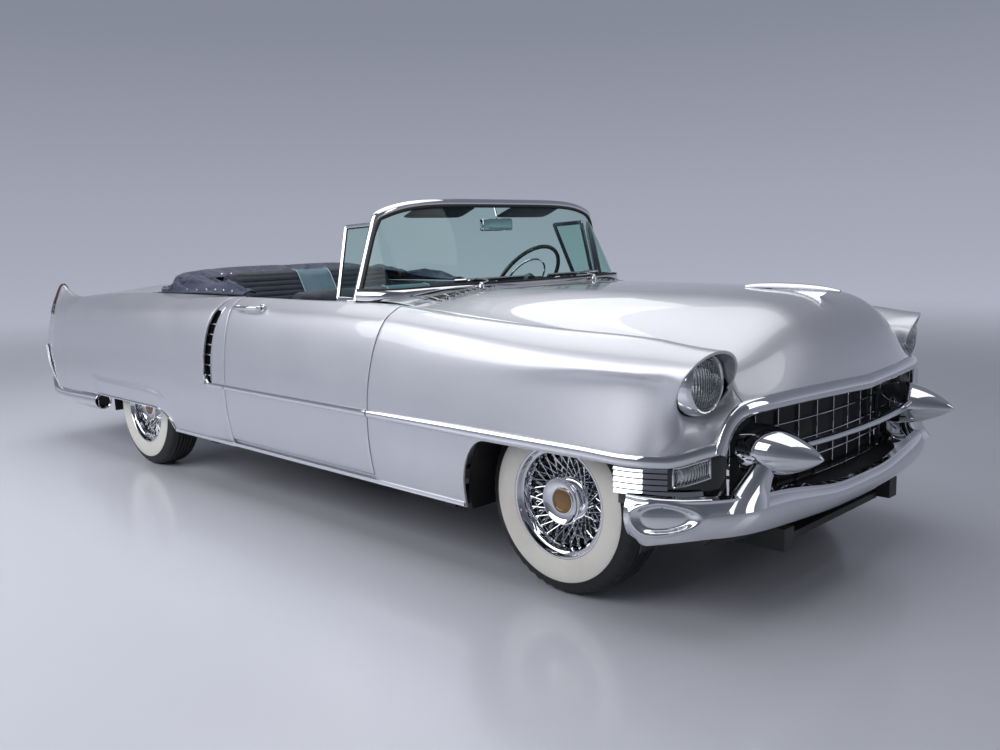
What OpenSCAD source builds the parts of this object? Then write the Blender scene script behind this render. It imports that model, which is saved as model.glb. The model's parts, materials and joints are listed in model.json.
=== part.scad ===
// Two-door convertible of the middle 1950s with its top down, in millimetres.
// X points forward, Y to the car's left, Z up, with the ground at z = 0.

/* [Overall] */
// Distance between the axles
wheelbase = 3277; // [3100:1:3450]
// Bumper guard tips ahead of the front axle
front_overhang = 890; // [860:1:940]
// Rear bumper behind the rear axle
rear_overhang = 1502; // [1450:1:1560]
// Full width over the rear fenders
body_w = 2027; // [1980:1:2080]
// Height of the belt line at the doors
belt_z = 1050; // [1020:1:1080]
// Height of the side moulding
spear_z = 600; // [585:1:615]
// Lower edge of the body sides
sill_z = 283; // [270:1:296]
// Height of the hood at its middle
hood_z = 1098; // [1080:1:1120]
// Height of the rear deck at its middle
deck_z = 1070; // [1060:1:1090]
// Height of the windscreen header
header_z = 1496; // [1450:1:1540]

/* [Panels] */
// Thickness of the pressed panels with their flanges
skin_t = 14; // [10:1:18]
// Gap round each moving panel
gap = 8; // [6.5:0.5:12]
// Clearance between fixed panels
seam = 0.3; // [0.2:0.1:0.8]

/* [Wheels] */
// Loaded radius of the tyres
tyre_r = 352; // [340:1:365]
// Width of the tyres
tyre_w = 208; // [190:1:220]
// Radius of the rim under the bead
rim_r = 190; // [185:1:200]
// Front track
track_f = 1524; // [1500:1:1550]
// Rear track
track_r = 1603; // [1580:1:1620]
// Kingpin inboard of the wheel's middle
kingpin_in = 90; // [80:1:100]
// Radius of the wheel spindles
spindle_r = 22; // [18:1:26]
// Running clearance of pins in their bores
run = 0.05; // [0.05:0.05:0.2]

/* [Cabin] */
// Floor thickness
floor_t = 18; // [12:1:24]
// Top of the chassis rails under the cabin
rail_z = 300; // [285:1:310]
// Gap between the front bench and the doors
bench_gap = 130; // [110:1:160]
// Radius of the steering wheel rim
steer_r = 216; // [200:1:225]

/* [Hidden] */
hw = body_w / 2;
car_len = front_overhang + wheelbase + rear_overhang;
xf = car_len / 2 - front_overhang;
xr = xf - wheelbase;
x_tail = -car_len / 2;
x_nose = car_len / 2;
// Door cuts at the side moulding, and the hinge axes
door_x1 = xf - 930;
door_x0 = xr + 1157;
door_low = sill_z + 45;
door_in = hw - 163;
door_axis_x = door_x1 - 70;
door_axis_y = hw - 30;
hood_rear = xf - 772;
hood_axis = [hood_rear - 7, hood_z - 53];
lid_front = xr - 128;
lid_axis = [lid_front + 250, deck_z - 110];
lid_gap = gap + 4;
arch_f0 = xf - 385;
arch_f_z = spear_z - 25;
arch_r0 = xr + 540;
arch_r_z = sill_z + 129;
lamp_y = hw - 208;
lamp_z = 842;
lamp_x = xf + 590;
bullet_y = 572;
bullet_z = 589;
floor_z = rail_z + floor_t;
glass_y = hw - 163;
dash_y = hw - 278;
glass_z = belt_z + 26;
column_tilt = 35;
column_c = [xf - 1284, 380, 1088];
spindle_f_y = track_f / 2 - kingpin_in;

// Rows of the body side, from the door's rear to the nose. Columns: x, then the inset from the
// half width and the drop below the belt for the inner edge, crown, shoulder, bulge and crease,
// then the inset at the side moulding.
front_side = [
  [xr + 900, 163, 0, 128, 8, 72, 60, 41, 155, 21, 300, 14],
  [xf - 1650, 163, 0, 128, 9, 71, 60, 39, 154, 19, 300, 12],
  [xf - 890, 163, 0, 130, 11, 73, 60, 42, 152, 22, 298, 13],
  [xf - 500, 223, 38, 152, 34, 84, 76, 47, 162, 27, 290, 15],
  [xf - 50, 278, 82, 180, 56, 99, 98, 56, 172, 44, 262, 19],
  [xf + 345, 298, 115, 200, 68, 118, 104, 72, 172, 82, 226, 29],
  [xf + 560, 321, 150, 208, 86, 138, 116, 98, 178, 112, 234, 40],
  [xf + 640, 323, 190, 208, 102, 148, 128, 108, 188, 124, 244, 48],
];
// How far each column follows the rounding of the nose
nose_share = [0, 0, 0.15, 0.35, 0.6, 1];

// The same columns for the rear fender, from the tail to the air scoop.
rear_side = [
  [xr - 1290, 243, 155, 166, -22, 124, 90, 90, 190, 70, 315, 63],
  [xr - 1150, 248, 85, 161, 12, 108, 82, 68, 184, 46, 315, 39],
  [xr - 900, 243, 45, 151, 38, 82, 88, 46, 184, 27, 315, 21],
  [xr - 500, 233, 25, 138, 38, 66, 84, 29, 180, 11, 310, 6],
  [xr, 223, 10, 133, 28, 58, 74, 21, 170, 4, 305, 1],
  [xr + 500, 218, 5, 133, 14, 58, 66, 21, 160, 4, 300, 1],
  [xr + 1000, 213, 4, 133, 8, 60, 62, 25, 152, 8, 292, 4],
];

// Cubic through a table's column at x, with slopes taken from the neighbours
function seg(t, x, i = 0) = (i >= len(t) - 2 || x <= t[i + 1][0]) ? i : seg(t, x, i + 1);
function rise(t, c, i, j) = (t[j][c] - t[i][c]) / (t[j][0] - t[i][0]);
function slope(t, c, i) = rise(t, c, max(0, i - 1), min(len(t) - 1, i + 1));
function look(t, c, x) =
  let (i = seg(t, x), h = t[i + 1][0] - t[i][0], f = (x - t[i][0]) / h)
  let (a = t[i][c], b = t[i + 1][c], m = slope(t, c, i) * h, n = slope(t, c, i + 1) * h)
  a + f * m + f * f * (3 * (b - a) - 2 * m - n) + f * f * f * (2 * (a - b) + m + n);

// Curve through a list of points, t running from 0 to its last index
function pick(p, i) = i < 0 ? 2 * p[0] - p[1] : i >= len(p) ? 2 * p[len(p) - 1] - p[len(p) - 2] : p[i];
function curve(p, t) =
  let (i = min(len(p) - 2, max(0, floor(t))), f = t - i)
  let (a = pick(p, i - 1), b = p[i], c = p[i + 1], d = pick(p, i + 2))
  b + 0.5 * f * ((c - a) + f * ((2 * a - 5 * b + 4 * c - d) + f * (3 * b - a - 3 * c + d)));
function ease(t) = let (s = min(1, max(0, t))) s * s * (3 - 2 * s);
function mix(a, b, t) = a + (b - a) * t;

// Rounding of the nose in plan, and the height of the moulding line, which climbs at the nose
function nose_in(x) = let (t = min(0.96, max(0, (x - xf - 345) / 310))) 290 * (1 - sqrt(1 - t * t));
function line_z(x) = spear_z + 82 * ease((x - xf - 345) / 260);

// Lower edge of the fenders, with the wheel openings
function leap(t) = let (s = min(1, max(0, t))) sqrt(1 - (1 - s) * (1 - s));
function front_low(x) = x < xf + 300 ? mix(sill_z, arch_f_z, leap((x - arch_f0) / 150)) : line_z(x) - 20;
function rear_low(x) = mix(arch_r_z, sill_z, 1 - leap((arch_r0 - x) / 190)) + 27 * ease((xr - 410 - x) / 40)
  + 68 * ease((xr - 450 - x) / 600);

// A point of a body side: w = 0 at the inner edge, 1 at the moulding, 2 at the lower edge
function side_row(t, x, nose) = [for (k = [0:5])
  [x,
   hw - look(t, k < 5 ? 1 + 2 * k : 11, x) - nose_share[k] * nose,
   k < 5 ? belt_z - look(t, 2 + 2 * k, x) : line_z(x)]];
function tuck(x, z) = 46 * pow(max(0, (line_z(x) - z) / (spear_z - sill_z)), 2);
function side_at(t, x, w, low) =
  let (n = t[0][0] < xr - 800 ? 0 : nose_in(x), p = side_row(t, x, n))
  w <= 1 ? curve(p, 5 * w)
  : let (z = mix(line_z(x), low, w - 1)) [x, p[5][1] - tuck(x, z), z];

// Door cuts lean and curve with height
function cut_front(z) = door_x1 + (z > spear_z ? 70 * pow((z - spear_z) / 400, 2) : -12 * (spear_z - z) / 300);
function cut_rear(z) = door_x0 + 14 * (z - door_low) / 700;
function scoop_x(z) = xr + 950 + (z > spear_z ? 85 * pow((z - spear_z) / 400, 3) : 0);

// Spread of the rows over a panel: the upper part gets two thirds of them
function w_at(j, n) = let (k = round(n * 0.66)) j <= k ? j / k : 1 + (j - k) / (n - k);

// Fender, door and rear quarter as functions of a station and a row
function fender_pt(x, w) =
  let (z = side_at(front_side, xf - 890, w, sill_z)[2], f = max(0, 1 - (x - door_x1) / 300))
  let (xs = x + (cut_front(z) - door_x1) * f * f)
  side_at(front_side, xs, w, front_low(xs));
function door_pt(u, w) =
  let (z = side_at(front_side, mix(door_x0, door_x1, u), w, door_low)[2])
  let (x = mix(cut_rear(z) + gap, cut_front(z) - gap, u))
  side_at(front_side, x, w, door_low);
function strip_pt(u, w) =
  let (z = side_at(front_side, door_x0, w, sill_z)[2])
  side_at(front_side, mix(scoop_x(z), cut_rear(z), u), w, sill_z);
function quarter_pt(x, w) =
  let (z0 = side_at(rear_side, xr + 900, w, sill_z)[2], f = max(0, 1 - (xr + 950 - x) / 420))
  let (xs = x + (scoop_x(z0) - xr - 950) * f * f, p = side_at(rear_side, xs, w, rear_low(xs)))
  let (g = ease((xr - 900 - x) / 368))
  p + [-0.3 * (belt_z + 22 - p[2]) * g, 0, 0];

// Closed panel from rows of outer points and rows of inner points
module panel(outer, inner) {
  nu = len(outer) - 1;
  nv = len(outer[0]) - 1;
  m = nv + 1;
  o = (nu + 1) * m;
  pts = [for (g = [outer, inner]) for (r = g) for (p = r) p];
  top = [for (i = [0:nu - 1]) for (j = [0:nv - 1])
    let (a = i * m + j) each [[a, a + 1, a + m + 1], [a, a + m + 1, a + m]]];
  low = [for (f = top) [f[2] + o, f[1] + o, f[0] + o]];
  ring = concat([for (i = [0:nu]) i * m], [for (j = [1:nv]) nu * m + j],
    [for (i = [nu - 1:-1:0]) i * m + nv], [for (j = [nv - 1:-1:1]) j]);
  n = len(ring);
  rim = [for (k = [0:n - 1]) let (a = ring[k], b = ring[(k + 1) % n])
    each [[a, b, b + o], [a, b + o, a + o]]];
  polyhedron(points = pts, faces = concat(top, low, rim), convexity = 6);
}

// Rows moved by t along the normals of the grid
function rel(g, i, j) = g[min(len(g) - 1, max(0, i))][min(len(g[0]) - 1, max(0, j))];
function unit(v) = v / max(1e-9, norm(v));
function inset_rows(g, t) = [for (i = [0:len(g) - 1]) [for (j = [0:len(g[0]) - 1])
  g[i][j] - t * unit(cross(rel(g, i + 1, j) - rel(g, i - 1, j), rel(g, i, j + 1) - rel(g, i, j - 1)))]];
module skin(rows, t) { panel(rows, inset_rows(rows, t)); }
module both() { children(); mirror([0, 1, 0]) children(); }
module at_x(x, y, z, r, h) { translate([x, y, z]) rotate([0, 90, 0]) cylinder(r = r, h = h); }
module at_y(x, y, z, r, h) { translate([x, y, z]) rotate([-90, 0, 0]) cylinder(r = r, h = h); }
module box(a, b) { translate(a) cube(b - a); }

// Front fender
fender_x = [door_x1, xf - 780, xf - 620, xf - 500, xf - 430, arch_f0, arch_f0 + 6, arch_f0 + 25,
  arch_f0 + 60, arch_f0 + 105, arch_f0 + 150, xf - 120, xf, xf + 130, xf + 260, xf + 340, xf + 420,
  xf + 490, xf + 550, xf + 600, xf + 630, xf + 640];
module fender() {
  n = 18;
  difference() {
    union() {
      skin([for (x = fender_x) [for (j = [0:n]) fender_pt(x, w_at(j, n))]], skin_t);
      // Plate that closes the front of the fender behind the headlamp
      box([xf + 596, hw - 318, line_z(xf + 640) - 12], [xf + 622, lamp_y + 62, lamp_z + 62]);
      // Bracket to the hinge pillar
      box([xf - 836, hw - 133, 560], [xf - 806, hw - 16, 620]);
    }
    at_x(xf + 500, lamp_y, lamp_z, 96, 200);
  }
}
module front_fender_right() { color("silver") mirror([0, 1, 0]) fender(); }
module front_fender_left() { color("silver") fender(); }

// Door: curved outside, flat inside
module door() {
  nu = 14;
  nv = 18;
  g = [for (i = [0:nu]) [for (j = [0:nv]) door_pt(i / nu, w_at(j, nv))]];
  panel(g, [for (r = g) [for (p = r) [p[0], door_in - 1, p[2] - 1]]]);
}
module door_right() { color("silver") mirror([0, 1, 0]) door(); }
module door_left() { color("silver") door(); }

// Rear quarter with the step of the air scoop
quarter_x = [xr + 950, xr + 880, xr + 780, xr + 680, xr + 600, arch_r0, arch_r0 - 6, arch_r0 - 30,
  arch_r0 - 75, arch_r0 - 130, arch_r0 - 190, xr + 150, xr, xr - 200, xr - 400, xr - 600, xr - 800,
  xr - 940, xr - 1060, xr - 1150, xr - 1220, xr - 1268];
module quarter() {
  n = 18;
  rows = concat(
    [for (x = [len(quarter_x) - 1:-1:0]) [for (j = [0:n]) quarter_pt(quarter_x[x], w_at(j, n))]],
    [for (i = [0:3]) [for (j = [0:n]) strip_pt(mix(0.06, 1, i / 3), w_at(j, n))]]);
  skin(rows, skin_t);
}
module rear_quarter_right() { color("silver") mirror([0, 1, 0]) quarter(); }
module rear_quarter_left() { color("silver") quarter(); }

// Hood. Rows: x and height at the middle, x at the edge, height at the edge (0 follows the fender).
hood_rows = [
  [hood_rear, hood_z, hood_rear, 0],
  [xf - 450, hood_z + 4, xf - 480, 0],
  [xf - 50, hood_z + 5, xf - 90, 0],
  [xf + 350, hood_z, xf + 290, 0],
  [xf + 540, hood_z - 16, xf + 440, 0],
  [xf + 650, hood_z - 62, xf + 520, 0],
  [xf + 722, hood_z - 138, xf + 568, 850],
  [xf + 758, hood_z - 228, xf + 602, 812],
  [xf + 768, hood_z - 311, xf + 612, 772],
];
function hood_edge(r) = [r[2], hw - look(front_side, 1, min(r[2], xf + 640)) - gap,
  r[3] > 0 ? r[3] : belt_z - look(front_side, 2, r[2])];
function bow(t) = 0.35 * t * t + 0.65 * ease((t - 0.42) / 0.58);
function across(m, e, t) = [mix(m[0], e[0], pow(abs(t), 2.2)), e[1] * t, mix(m[2], e[2], bow(abs(t)))];
hood_mid = [for (r = hood_rows) [r[0], 0, r[1]]];
hood_side = [for (r = hood_rows) hood_edge(r)];
function hood_pt(u, t) = let (k = u * (len(hood_rows) - 1)) across(curve(hood_mid, k), curve(hood_side, k), t);
module hood() {
  color("silver")
    skin([for (i = [0:24]) [for (j = [0:20]) hood_pt(1 - i / 24, 1 - j / 10)]], skin_t);
}

// Trunk lid, the same way
lid_rows = [
  [lid_front, deck_z, lid_front, 0],
  [xr - 470, deck_z - 2, xr - 470, 0],
  [xr - 770, deck_z - 13, xr - 770, 0],
  [xr - 1020, deck_z - 46, xr - 1000, 0],
  [xr - 1200, deck_z - 106, xr - 1140, 0],
  [xr - 1320, deck_z - 192, xr - 1240, 880],
  [xr - 1385, deck_z - 290, xr - 1310, 785],
  [xr - 1408, deck_z - 400, xr - 1335, 672],
];
function lid_edge(r) = [r[2], hw - look(rear_side, 1, r[2]) - gap, r[3] > 0 ? r[3] : belt_z - look(rear_side, 2, r[2])];
lid_mid = [for (r = lid_rows) [r[0], 0, r[1]]];
lid_side = [for (r = lid_rows) lid_edge(r)];
function lid_pt(u, t) = let (k = u * (len(lid_rows) - 1)) across(curve(lid_mid, k), curve(lid_side, k), t);
module trunk_lid() {
  color("silver")
    skin([for (i = [0:18]) [for (j = [0:16]) lid_pt(i / 18, 1 - j / 8)]], skin_t);
}

// Fixed deck ahead of the trunk lid
deck_x0 = lid_front + lid_gap;
deck_x1 = deck_x0 + 52;
function deck_pt(x, t) =
  let (y = hw - look(rear_side, 1, x) - seam - 0.25 * skin_t, z = belt_z - look(rear_side, 2, x))
  [x, y * t, mix(deck_z, z, bow(abs(t)))];
module rear_deck() {
  color("silver") skin([for (i = [0:2]) [for (j = [0:16]) deck_pt(mix(deck_x1, deck_x0, i / 2), 1 - j / 8)]], skin_t);
}

// Tail between the rear fenders, with the posts behind the tail lamps
module tail_panel() {
  color("silver") {
    box([xr - 1390, -hw + 236, 490], [xr - 1352, hw - 236, 640]);
    both() translate([0, hw - 140, 0]) rotate([90, 0, 0]) linear_extrude(100)
      polygon([[xr - 1330, 502], [xr - 1397, 502], [xr - 1386, 640], [xr - 1321, 870], [xr - 1275, 870]]);
  }
}

// Cowl: firewall, hinge pillars and the strip below the windscreen
module cowl() {
  color("silver") {
    box([xf - 806, -dash_y, floor_z], [xf - 786, dash_y, belt_z - 30]);
    both() box([xf - 836, 640, floor_z], [xf - 806, hw - 133, belt_z - 34]);
    box([xf - 836, -hw + 174, belt_z - 34], [xf - 806, hw - 174, belt_z - 4]);
    box([xf - 836, -hw + 190, belt_z - 34], [xf - 806, hw - 190, belt_z + 8]);
    // Hinge leaves that carry the doors
    both() for (z = [500, 760])
      box([cut_front(z + 60) - gap + (z < spear_z ? seam : 4 * seam), hw - 160, z], [xf - 836, hw - 135, z + 60]);
  }
}

// Posts and pins that carry the hood and the trunk lid
module hinge_posts() {
  color("dimgray") both() {
    box([hood_axis[0] - 10, 520, belt_z - 30], [hood_axis[0] + 10, 532, hood_axis[1] + 9]);
    at_y(hood_axis[0], 528, hood_axis[1], 5, 40);
    box([lid_axis[0] - 12, 448, lid_axis[1] - 12], [lid_axis[0] + 28, 460, lid_axis[1] + 12]);
    at_y(lid_axis[0], 424, lid_axis[1], 8, 30);
  }
}
module hood_hinges() {
  color("dimgray") both() difference() {
    box([hood_axis[0] - 9, 540, hood_axis[1] - 9], [hood_axis[0] + 90, 560, hood_axis[1] + 24]);
    at_y(hood_axis[0], 530, hood_axis[1], 5 + run, 60);
  }
}
// Goosenecks that reach round the edge of the deck to the trunk lid
module trunk_hinges() {
  color("dimgray") both() difference() {
    union() {
      box([lid_axis[0] - 14, 430, lid_axis[1] - 272], [lid_axis[0] + 14, 442, lid_axis[1] + 14]);
      box([lid_front - 72, 430, lid_axis[1] - 272], [lid_axis[0] + 14, 442, lid_axis[1] - 246]);
      box([lid_front - 72, 430, lid_axis[1] - 272], [lid_front - 46, 442, deck_z - 15]);
    }
    at_y(lid_axis[0], 420, lid_axis[1], 8 + run, 40);
  }
}

// Windscreen: u runs across from -1 to 1, v from the base to the header
function sgn_pow(a, p) = sign(a) * pow(abs(a), p);
function glass_pt(u, v) =
  let (s = sin(90 * u), c = cos(90 * u), up = header_z - 16 - glass_z)
  let (b = [xf - 1154 + 300 * pow(c, 0.9), glass_y * sgn_pow(s, 0.62), glass_z])
  let (t = [xf - 1150 + 48 * c, (glass_y - 112) * sgn_pow(s, 0.7), glass_z + up - 62 * pow(abs(s), 4)])
  mix(b, t, v) + [24 * sin(180 * v) * c, 0, 0];
module windscreen_glass() {
  color([0.55, 0.7, 0.65, 0.5])
    skin([for (i = [0:28]) [for (j = [0:6]) glass_pt(mix(0.995, -0.995, i / 28), mix(0.01, 0.985, j / 6))]], 6);
}
function loop_uv(k) = k < 28 ? [-1 + k / 14, 0] : k < 34 ? [1, (k - 28) / 6]
  : k < 62 ? [1 - (k - 34) / 14, 1] : [-1, 1 - (k - 62) / 6];
module windscreen_frame() {
  ring = [for (k = [0:67])
    let (q = loop_uv(k), e = glass_pt(q[0], q[1]), m = glass_pt(0.94 * q[0], 0.5 + 0.9 * (q[1] - 0.5)))
    let (o = unit(e - m), a = glass_pt(0.999 * q[0] + 0.001, q[1]) - glass_pt(0.999 * q[0] - 0.001, q[1]))
    let (d = glass_pt(q[0], mix(0.01, 0.99, q[1]) + 0.01) - glass_pt(q[0], mix(0.01, 0.99, q[1]) - 0.01))
    let (n = unit(cross(d, a)))
    [e + 13 * o + 12 * n, e - 8 * o + 12 * n, e - 8 * o - 12 * n, e + 13 * o - 12 * n]];
  color("gainsboro")
    polyhedron(points = [for (r = ring) each r], faces = [for (k = [0:67]) for (s = [0:3])
      let (a = k * 4 + s, b = k * 4 + (s + 1) % 4, c = ((k + 1) % 68) * 4)
      each [[a, b, c + (s + 1) % 4], [a, c + (s + 1) % 4, c + s]]], convexity = 6);
}

// Vent windows on the doors
vent_shape = [[xf - 1182, 0], [xf - 1176, 368], [xf - 1398, 358], [xf - 1330, 0]];
vent_pane = [[xf - 1194, 14], [xf - 1189, 354], [xf - 1384, 345], [xf - 1318, 14]];
module vent_at(in, h) {
  translate([0, door_in - 2, belt_z]) rotate([19, 0, 0]) translate([0, -in, 6]) rotate([90, 0, 0])
    linear_extrude(h) children();
}
module vent_frame() {
  translate([0, -1.3, 0]) box([xf - 1330, door_in - 14, belt_z - 45], [xf - 1182, door_in, belt_z + 6]);
  vent_at(0, 12) difference() {
    polygon(vent_shape);
    polygon(vent_pane);
  }
}
module vent_frame_right() { color("gainsboro") mirror([0, 1, 0]) vent_frame(); }
module vent_frame_left() { color("gainsboro") vent_frame(); }
module vent_glass() {
  color([0.55, 0.7, 0.65, 0.5]) vent_at(3.5, 5) offset(delta = -seam) polygon(vent_pane);
}
module vent_glass_right() { mirror([0, 1, 0]) vent_glass(); }
module vent_glass_left() { vent_glass(); }

// Egg-crate grille, on a gentle arc in plan
grille_x = xf + 640;
grille_r = 3400;
grille_low = 372;
grille_rows = 7;
grille_cols = 15;
function grille_top(y) = 742 - 92 * pow(abs(y) / 640, 3);
module grille() {
  color("gainsboro") {
    for (k = [0:grille_rows]) {
      z = grille_low + 10 + k * 47;
      half = k == grille_rows ? 360 : k == grille_rows - 1 ? 565 : 656;
      translate([grille_x - grille_r, 0, z]) linear_extrude(5) intersection() {
        difference() { circle(r = grille_r, $fn = 400); circle(r = grille_r - 26, $fn = 400); }
        translate([grille_r - 90, -half]) square([100, 2 * half]);
      }
    }
    for (k = [0:grille_cols - 1]) {
      y = (k - (grille_cols - 1) / 2) * 82;
      x = grille_x - grille_r + sqrt(grille_r * grille_r - y * y);
      box([x - 27, y - 2.5, grille_low], [x - 3, y + 2.5, grille_top(y) - 8]);
    }
    box([grille_x - 110, -600, grille_low], [grille_x - 100, 600, 660]);
    for (y = [-470, 410]) box([grille_x - 110, y, rail_z], [grille_x - 100, y + 60, grille_low]);
    box([grille_x - 100, -560, grille_low], [grille_x - 26, -552, 640]);
    box([grille_x - 100, 552, grille_low], [grille_x - 26, 560, 640]);
  }
}
module grille_surround() {
  n = 20;
  top = [for (k = [-n:n]) [k * 655 / n, grille_top(k * 655 / n)]];
  color("gainsboro") difference() {
    translate([grille_x - 60, 0, 0]) rotate([90, 0, 90]) linear_extrude(74) difference() {
      polygon(concat([for (p = top) p + [0, 26]], [[682, 640], [690, grille_low], [-690, grille_low], [-682, 640]]));
      polygon(concat([for (p = top) [p[0] * 0.985, p[1] - 6]], [[652, grille_low - 1], [-652, grille_low - 1]]));
    }
    translate([grille_x - grille_r + 14, 0, 0]) difference() {
      translate([grille_r - 200, -900, 300]) cube([400, 1800, 600]);
      translate([0, 0, 290]) cylinder(r = grille_r, h = 620, $fn = 400);
    }
  }
}

// Bumpers: a wrapped bar given by its half plan, with guards
front_bar = [[xf + 440, hw - 70, 0], [xf + 500, hw - 92, 0], [xf + 590, hw - 150, 0], [xf + 668, hw - 260, 0],
  [xf + 716, hw - 420, 0], [xf + 736, hw - 700, 0], [xf + 742, 0, 0]];
rear_bar = [[xr - 470, hw - 26, 0], [xr - 800, hw - 28, 0], [xr - 1120, hw - 48, 0], [xr - 1330, hw - 92, 0],
  [xr - 1440, hw - 190, 0], [xr - 1474, hw - 420, 0], [xr - 1480, 0, 0]];
function bar_rows(path, n, low, top, tip, bulge) = [for (i = [0:2 * n])
  let (s = i <= n ? 1 : -1, k = (i <= n ? i : 2 * n - i) / n * (len(path) - 1))
  let (p = curve(path, k), d = unit(curve(path, min(len(path) - 1, k + 0.02)) - curve(path, max(0, k - 0.02))))
  [for (j = [0:8]) let (a = j / 8, o = bulge * sin(180 * a))
    [p[0] + o * abs(d[1]) * sign(path[6][0] - path[0][0]), s * (p[1] + o * abs(d[0])), mix(mix(tip, top, ease(k / 2.6)), low, a)]]];
function flip(g) = [for (i = [len(g) - 1:-1:0]) g[i]];
module front_bumper() {
  color("gainsboro") {
    skin(bar_rows(front_bar, 14, 300, 418, 418, 34), 12);
    both() {
      // Guards: a pod standing on the bar with a cone in front
      translate([xf + 660, bullet_y, bullet_z]) rotate([0, 90, 0]) rotate_extrude()
        polygon(concat([[0, 0], [60, 0]], [for (k = [0:10]) [92 * pow(cos(9 * k), 0.8), 20 + 210 * pow(k / 10, 0.9)]]));
      hull() {
        box([xf + 640, bullet_y - 52, bullet_z - 40], [xf + 690, bullet_y + 52, bullet_z + 10]);
        box([xf + 640, bullet_y - 75, 390], [xf + 716, bullet_y + 60, 410]);
      }
      box([xf + 560, 412, rail_z], [xf + 735, 470, rail_z + 40]);
    }
    // Bar between the guards
    box([grille_x + 16, -bullet_y, bullet_z - 12], [grille_x + 44, bullet_y, bullet_z + 12]);
  }
}
module rear_bumper() {
  color("gainsboro") {
    skin(flip(bar_rows(rear_bar, 16, 352, 490, 424, 22)), 12);
    both() {
      // Upright ends below the tail lamps and the irons to the rails
      box([xr - 1470, hw - 196, 470], [xr - 1404, hw - 96, 640]);
      box([xr - 1491, 412, 392], [xr - 1344, 470, 452]);
    }
  }
}

// Louvred panels between the fender and the bumper, with the parking lamps
function louvre_pt(x, w) = let (p = side_at(front_side, x, 1, 0)) [x, p[1] - 24, mix(p[2] - 21, 418.3, w)];
module louvre_panels() {
  color("gainsboro") both() {
    skin([for (k = [0:8]) [for (j = [0:4]) louvre_pt(mix(xf + 425, xf + 612, k / 8), j / 4)]], 10);
  }
}
module headlamps() {
  color("white") both() {
    translate([xf + 540, lamp_y, lamp_z]) rotate([0, 90, 0]) rotate_extrude()
      polygon([[0, 0], [95.6, 0], [95.6, 100.5], [112, 100.5], [114, 108], [110, 118], [98, 118], [92, 104],
        [88, 96], [70, 104], [40, 111], [0, 114]]);
  }
}
module tail_lamps() {
  color("red") both() translate([xr - 1293.5, hw - 162, 990]) rotate([0, -73.3, 0])
    rotate_extrude() polygon([[0, 0], [42, 0], [42, 8], [36, 20], [22, 29], [0, 33]]);
}

// Chassis: side rails by their path, and cross members
rail_path = [[xf + 700, 441, 220], [xf - 900, 441, 220], [xr + 620, 441, 220], [xr + 330, 441, 480],
  [xr - 330, 441, 480], [xr - 560, 441, 392], [xr - 1340, 441, 392]];
module chassis_frame() {
  color("dimgray") {
    both() for (i = [0:len(rail_path) - 2]) hull() for (k = [0, 1])
      translate(rail_path[i + k] - [4, 35, 0]) cube([8, 70, rail_z - 220]);
    for (x = [xf + 560, xf - 660, xr + 700]) box([x, -410, 214], [x + 90, 410, 240]);
    box([xf - 70, -410, 226], [xf + 70, 410, rail_z - 6]);
    for (x = [xr + 240, xr - 330]) box([x, -410, 486], [x + 70, 410, 554]);
    box([xr - 1300, -410, 398], [xr - 1240, 410, 466]);
    both() for (x = [xf - 600, xr + 760]) box([x, 470, 240], [x + 70, hw - 133, rail_z]);
  }
}
module floor_pan() {
  color("dimgray") {
    box([xr + 700, -hw + 133, rail_z], [xf - 786, hw - 133, floor_z]);
    box([xr + 680, -640, rail_z], [xr + 700, 640, 578]);
    box([xr - 590, -640, 560], [xr + 700, 640, 578]);
    box([xr - 590, -640, 472], [xr - 572, 640, 578]);
    box([xr - 1390, -640, 472], [xr - 572, 640, 490]);
    // Hump over the propeller shaft and the wall behind the rear seat
    box([xr + 1230, -120, floor_z], [xf - 806, 120, floor_z + 100]);
    box([lid_axis[0] + 28, -640, 560], [lid_axis[0] + 40, 640, deck_z - 96]);
  }
}
module sills() {
  color("silver") both() box([cut_rear(sill_z) + 2 * seam, hw - 133, sill_z],
    [cut_front(sill_z) - 2 * seam, hw - 62, door_low - gap]);
}
module engine() {
  color("slategray") {
    box([xf - 330, -230, rail_z - 6], [xf + 330, 230, 700]);
    box([xf - 330, -330, 520], [xf + 330, -230, 660]);
    box([xf - 330, 230, 520], [xf + 330, 330, 660]);
    translate([xf - 60, 0, 700]) cylinder(r = 190, h = 110);
    at_x(xf - 770, 0, 330, 90, 440);
    at_x(xf + 330, 0, 560, 130, 60);
  }
}
module radiator() {
  color("slategray") box([xf + 440, -330, rail_z], [xf + 500, 330, 800]);
  color("slategray") box([xf + 440, -441, rail_z], [xf + 500, 441, rail_z + 40]);
}
module propshaft() {
  color("slategray") at_x(xr + 260, 0, 268, 27, xf - 770 - xr - 260);
}

// Front suspension with the kingpins, and the steered knuckles
module front_suspension() {
  color("dimgray") both() {
    box([xf - 60, 306, rail_z], [xf + 60, 480, rail_z + 150]);
    for (z = [tyre_r - 96, tyre_r + 82]) {
      box([xf - 45, z > tyre_r ? 480 : 476, z], [xf + 45, spindle_f_y - 20, z + 18]);
      translate([xf, spindle_f_y, z]) cylinder(r = 26, h = 18);
    }
    translate([xf, spindle_f_y, tyre_r - 90]) cylinder(r = 13, h = 180);
  }
}
module knuckle() {
  difference() {
    union() {
      translate([xf, spindle_f_y, tyre_r - 72.5]) cylinder(r = 28, h = 149);
      at_y(xf, spindle_f_y, tyre_r, 40, 50);
      at_y(xf, spindle_f_y, tyre_r, spindle_r, kingpin_in + 50);
    }
    translate([xf, spindle_f_y, tyre_r - 80]) cylinder(r = 13 + run, h = 170);
  }
}
module knuckle_right() { color("slategray") mirror([0, 1, 0]) knuckle(); }
module knuckle_left() { color("slategray") knuckle(); }
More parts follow.
